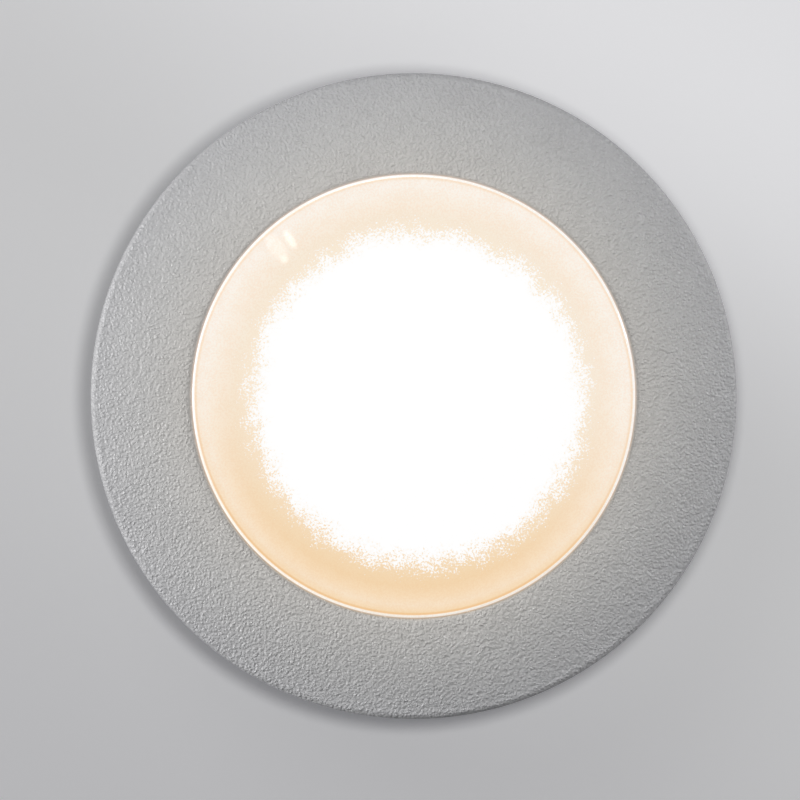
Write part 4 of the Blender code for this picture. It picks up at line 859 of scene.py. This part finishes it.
# Glass, with a broad foot that the gasket holds. It is left out of the overhead lamp's light.
lensValues = {
    "outline": [
        (0, 81.1), (43.7, 81.1), (44.0, 81.4), (44.0, 84.8), (43.7, 85.1), (41.25, 85.1), (41.1, 85.3),
        (41.1, 89.6), (41.05, 89.8), (40.95, 89.93), (40.8, 90.0), (40.5, 90.0), (0, 90.0),
    ],
    "steps": 360,
}


def makeLens():
    lens = turnedPiece("lensGlass", lensValues, glassMaterial)
    settle(lens, "lens_unit", "lens_glass", "lens")
    litByOverhead.objects.link(lens)
    litByOverhead.collection_objects[0].light_linking.link_state = "EXCLUDE"


# Gasket: a U of rubber round the glass's foot, with a parting line outside
gasketValues = {
    "outline": [
        (41.7, 79.8), (41.9, 79.6), (45.6, 79.6), (45.9, 79.9), (45.9, 83.0), (45.75, 83.1), (45.9, 83.2),
        (45.9, 86.3), (45.6, 86.6), (41.9, 86.6), (41.7, 86.4), (41.7, 85.6), (41.9, 85.4),
        (44.3, 85.4), (44.3, 80.8), (41.9, 80.8), (41.7, 80.6),
    ],
    "steps": 180,
}
reflectorValues = {
    "outline": [
        (38.0, 69.6), (38.3, 69.3), (41.1, 69.3), (41.1, 79.0), (40.6, 79.0), (39.6, 78.1),
        (38.6, 76.9), (38.0, 76.2),
    ],
    "steps": 180,
}


def makeGasketAndReflector():
    gasket = turnedPiece("glassGasket", gasketValues, rubbers["siliconeGasket"])
    settle(gasket, "lens_unit", "seal_rubber", "lens_gasket")
    reflector = turnedPiece("lampReflector", reflectorValues, plastics["whitePolycarbonate"])
    settle(reflector, "fixture", "white_plastic", "reflector_ring")


# Sleeve that stays in the ground, with anchor ribs, screw pillars and two cable windows
sleeveValues = {
    "bore": 50.0, "radius": 52.0, "low": 2.8, "high": 84.3, "wallLoops": (26.0, 48.0),
    "ribs": 8, "ribThickness": 2.0, "ribReach": 54.6, "ribTop": 70.3, "ribRound": 0.7,
    "pillarRadius": 3.7, "pillarTop": 65.7, "holeLow": 55.8,
    "window": (11.9, 45.0, 56.0),   # radius, and from where to where its tool reaches
    "rise": 0.05,   # ribs and pillars start this far above the sleeve's bottom, so no faces coincide
}


def makeSleeve():
    v = sleeveValues
    loopLow, loopHigh = v["wallLoops"]
    outline = [
        (v["bore"], v["low"]), (v["radius"] - 0.4, v["low"]), (v["radius"], v["low"] + 0.4),
        (v["radius"], loopLow), (v["radius"], loopHigh), (v["radius"], v["high"] - 0.5),
        (v["radius"] - 0.5, v["high"]), (v["bore"] + 0.4, v["high"]), (v["bore"], v["high"] - 0.4),
        (v["bore"], loopHigh), (v["bore"], loopLow),
    ]
    sleeve = turnedPiece("groundSleeve", {"outline": outline, "steps": 180}, plastics["nylonSleeve"])
    added = []
    removed = []
    for k in range(v["ribs"]):
        turn = Matrix.Rotation(math.tau * (k + 0.5) / v["ribs"], 4, "Z")
        half = v["ribThickness"] / 2
        low = (v["radius"] - 0.5, -half, v["low"] + v["rise"])
        rib = boxTool(low, (v["ribReach"], half, v["ribTop"]), turn)
        shape = bmesh.new()
        shape.from_mesh(rib.data)
        outer = [edge for edge in shape.edges
                 if all(point.co.xy.length > (v["ribReach"] - 1.1) * mm for point in edge.verts)]
        bmesh.ops.bevel(shape, geom=outer, offset=v["ribRound"] * mm, offset_type="OFFSET", segments=3,
                        profile=0.5, affect="EDGES", material=-1)
        shape.to_mesh(rib.data)
        shape.free()
        added.append(rib)
    for azimuth in screwAngles:
        place = standing(screwCircle, azimuth)
        added.append(roundTool(v["pillarRadius"], v["low"] + v["rise"], v["pillarTop"], place, 40))
        removed.append(roundTool(screwHole, v["holeLow"], v["pillarTop"] + 2, place, 24))
    for side in (1, -1):
        removed.append(roundTool(*v["window"], sideways(side), 72))
    carve(sleeve, added, "UNION")
    carve(sleeve, removed)
    softEdges(sleeve)
    settle(sleeve, "fixture", "sleeve_plastic", "recess_sleeve")


footValues = {
    "outline": [
        (30.0, 0.4), (30.4, 0.0), (54.5, 0.0), (55.0, 0.5), *rounded(54.4, 1.9, 0.6, 0, 90, 4),
        *rounded(30.5, 2.0, 0.5, 90, 180, 4),
    ],
    "steps": 180,
}


def makeFoot():
    foot = turnedPiece("sleeveFootRing", footValues, plastics["nylonSleeve"])
    settle(foot, "fixture", "sleeve_plastic", "sleeve_foot")


# Housing: threaded neck over the lamp space, on a shelf
housingValues = {
    "outline": [
        (41.5, 79.0), (41.5, 69.0), (39.5, 69.0), (39.5, 35.9), (39.1, 35.5), (24.3, 35.5), (24.0, 35.2),
        (24.0, 33.6), (24.3, 33.3), (42.0, 33.3), (42.5, 33.8), (42.5, 65.4), (42.9, 66.0), (49.2, 66.0),
        (49.5, 66.3), (49.5, 68.7), (49.2, 69.0), (44.9, 69.0), (44.5, 69.4), (44.5, 79.0), (44.2, 79.3),
        (41.8, 79.3),
    ],
    "steps": 160,
    "thread": [(44.0, 70.5), (46.0, 71.0), (46.0, 72.2), (44.0, 72.7)],
    "threadStart": 30, "threadTurns": 1.25,
    "collarHoles": (64, 70.9),    # from and to, for the screws into the sleeve
    "shelfHoles": (31, 37.5), "holderAngles": (45, 225), "holderCircle": 31.0,
}


def makeHousing():
    v = housingValues
    housing = turnedPiece("lampHousing", v, plastics["nylonHousing"])
    places = [(v["collarHoles"], standing(screwCircle, azimuth)) for azimuth in screwAngles]
    places += [(v["shelfHoles"], standing(v["holderCircle"], azimuth)) for azimuth in v["holderAngles"]]
    carve(housing, [roundTool(screwHole, *span, place, 24) for span, place in places])
    shape = bmesh.new()   # the thread comes after the Booleans, which may drop it
    shape.from_mesh(housing.data)
    ridge(shape, v["thread"], v["threadStart"], v["threadTurns"])
    bmesh.ops.recalc_face_normals(shape, faces=shape.faces)
    shape.to_mesh(housing.data)
    shape.free()
    smoothShade(housing.data)
    settle(housing, "fixture", "housing_resin", "housing")


# Wiring cup: each tool is its radius, and from where to where it reaches
cupValues = {
    "outline": [
        (0, 6.0), (26.4, 6.0), (27.0, 6.6), (27.0, 32.7), (26.7, 33.0), (24.3, 33.0), (24.0, 32.7),
        (24.0, 9.6), (23.4, 9.0), (0, 9.0),
    ],
    "steps": 120,
    "floorBoss": (4.0, 3.0, 6.5), "floorHole": (screwHole, 4.5, 11.0),
    "entryBoss": (12.4, 21.5, 28.5), "entryBore": (8.1, 19.5, 30.5),
}


def makeWiringCup():
    v = cupValues
    cup = turnedPiece("wiringCup", v, plastics["nylonHousing"])
    added = [roundTool(*v["floorBoss"], Matrix(), 40)]
    removed = [roundTool(*v["floorHole"], Matrix(), 24)]
    for side in (1, -1):
        added.append(roundTool(*v["entryBoss"], sideways(side), 64))
        removed.append(roundTool(*v["entryBore"], sideways(side), 48))
    carve(cup, added, "UNION")
    carve(cup, removed)
    softEdges(cup)
    settle(cup, "fixture", "housing_resin", "wiring_cup")


makeTrimRing()
print("trim ring made")
makeLens()
makeGasketAndReflector()
print("glass, gasket and reflector made")
makeSleeve()
makeFoot()
print("sleeve made")
makeHousing()
makeWiringCup()
print("housing made")

nodeFinishes = {
    "lampholder": plastics["creamPolybutylene"], "lamp_base": plastics["whitePolycarbonate"],
    "lamp_diffuser": opalCover, "led_board": laminates["whiteLaminate"],
    "driver_board": laminates["greenLaminate"], "driver_capacitor": plastics["capacitorSleeve"],
    "driver_coil": copperWinding, "terminal_block": plastics["milkyPolyamide"],
    "wire_live": plastics["brownVinyl"], "wire_neutral": plastics["blueVinyl"],
    "gland_seal": rubbers["blackNitrile"], "gland_washer": rubbers["blackNitrile"],
    "plug_washer": rubbers["blackNitrile"],
}
for name in ("holder_contact_1", "holder_contact_2"):
    nodeFinishes[name] = metals["springBrass"]
for name in ("lamp_pin_1", "lamp_pin_2", "terminal_clamp_1", "terminal_clamp_2"):
    nodeFinishes[name] = metals["nickelledBrass"]
for name in nodes:
    if "screw" in name or name.startswith("holder_nut"):
        nodeFinishes[name] = metals["zincPlatedSteel"]
    elif name.startswith(("gland_", "plug_", "blanking_")) and name not in nodeFinishes:
        nodeFinishes[name] = plastics["blackPolyamide"]
for name, material in nodeFinishes.items():
    nodes[name].material_slots[0].material = material
print("finishes put on", len(nodeFinishes), "packed pieces")
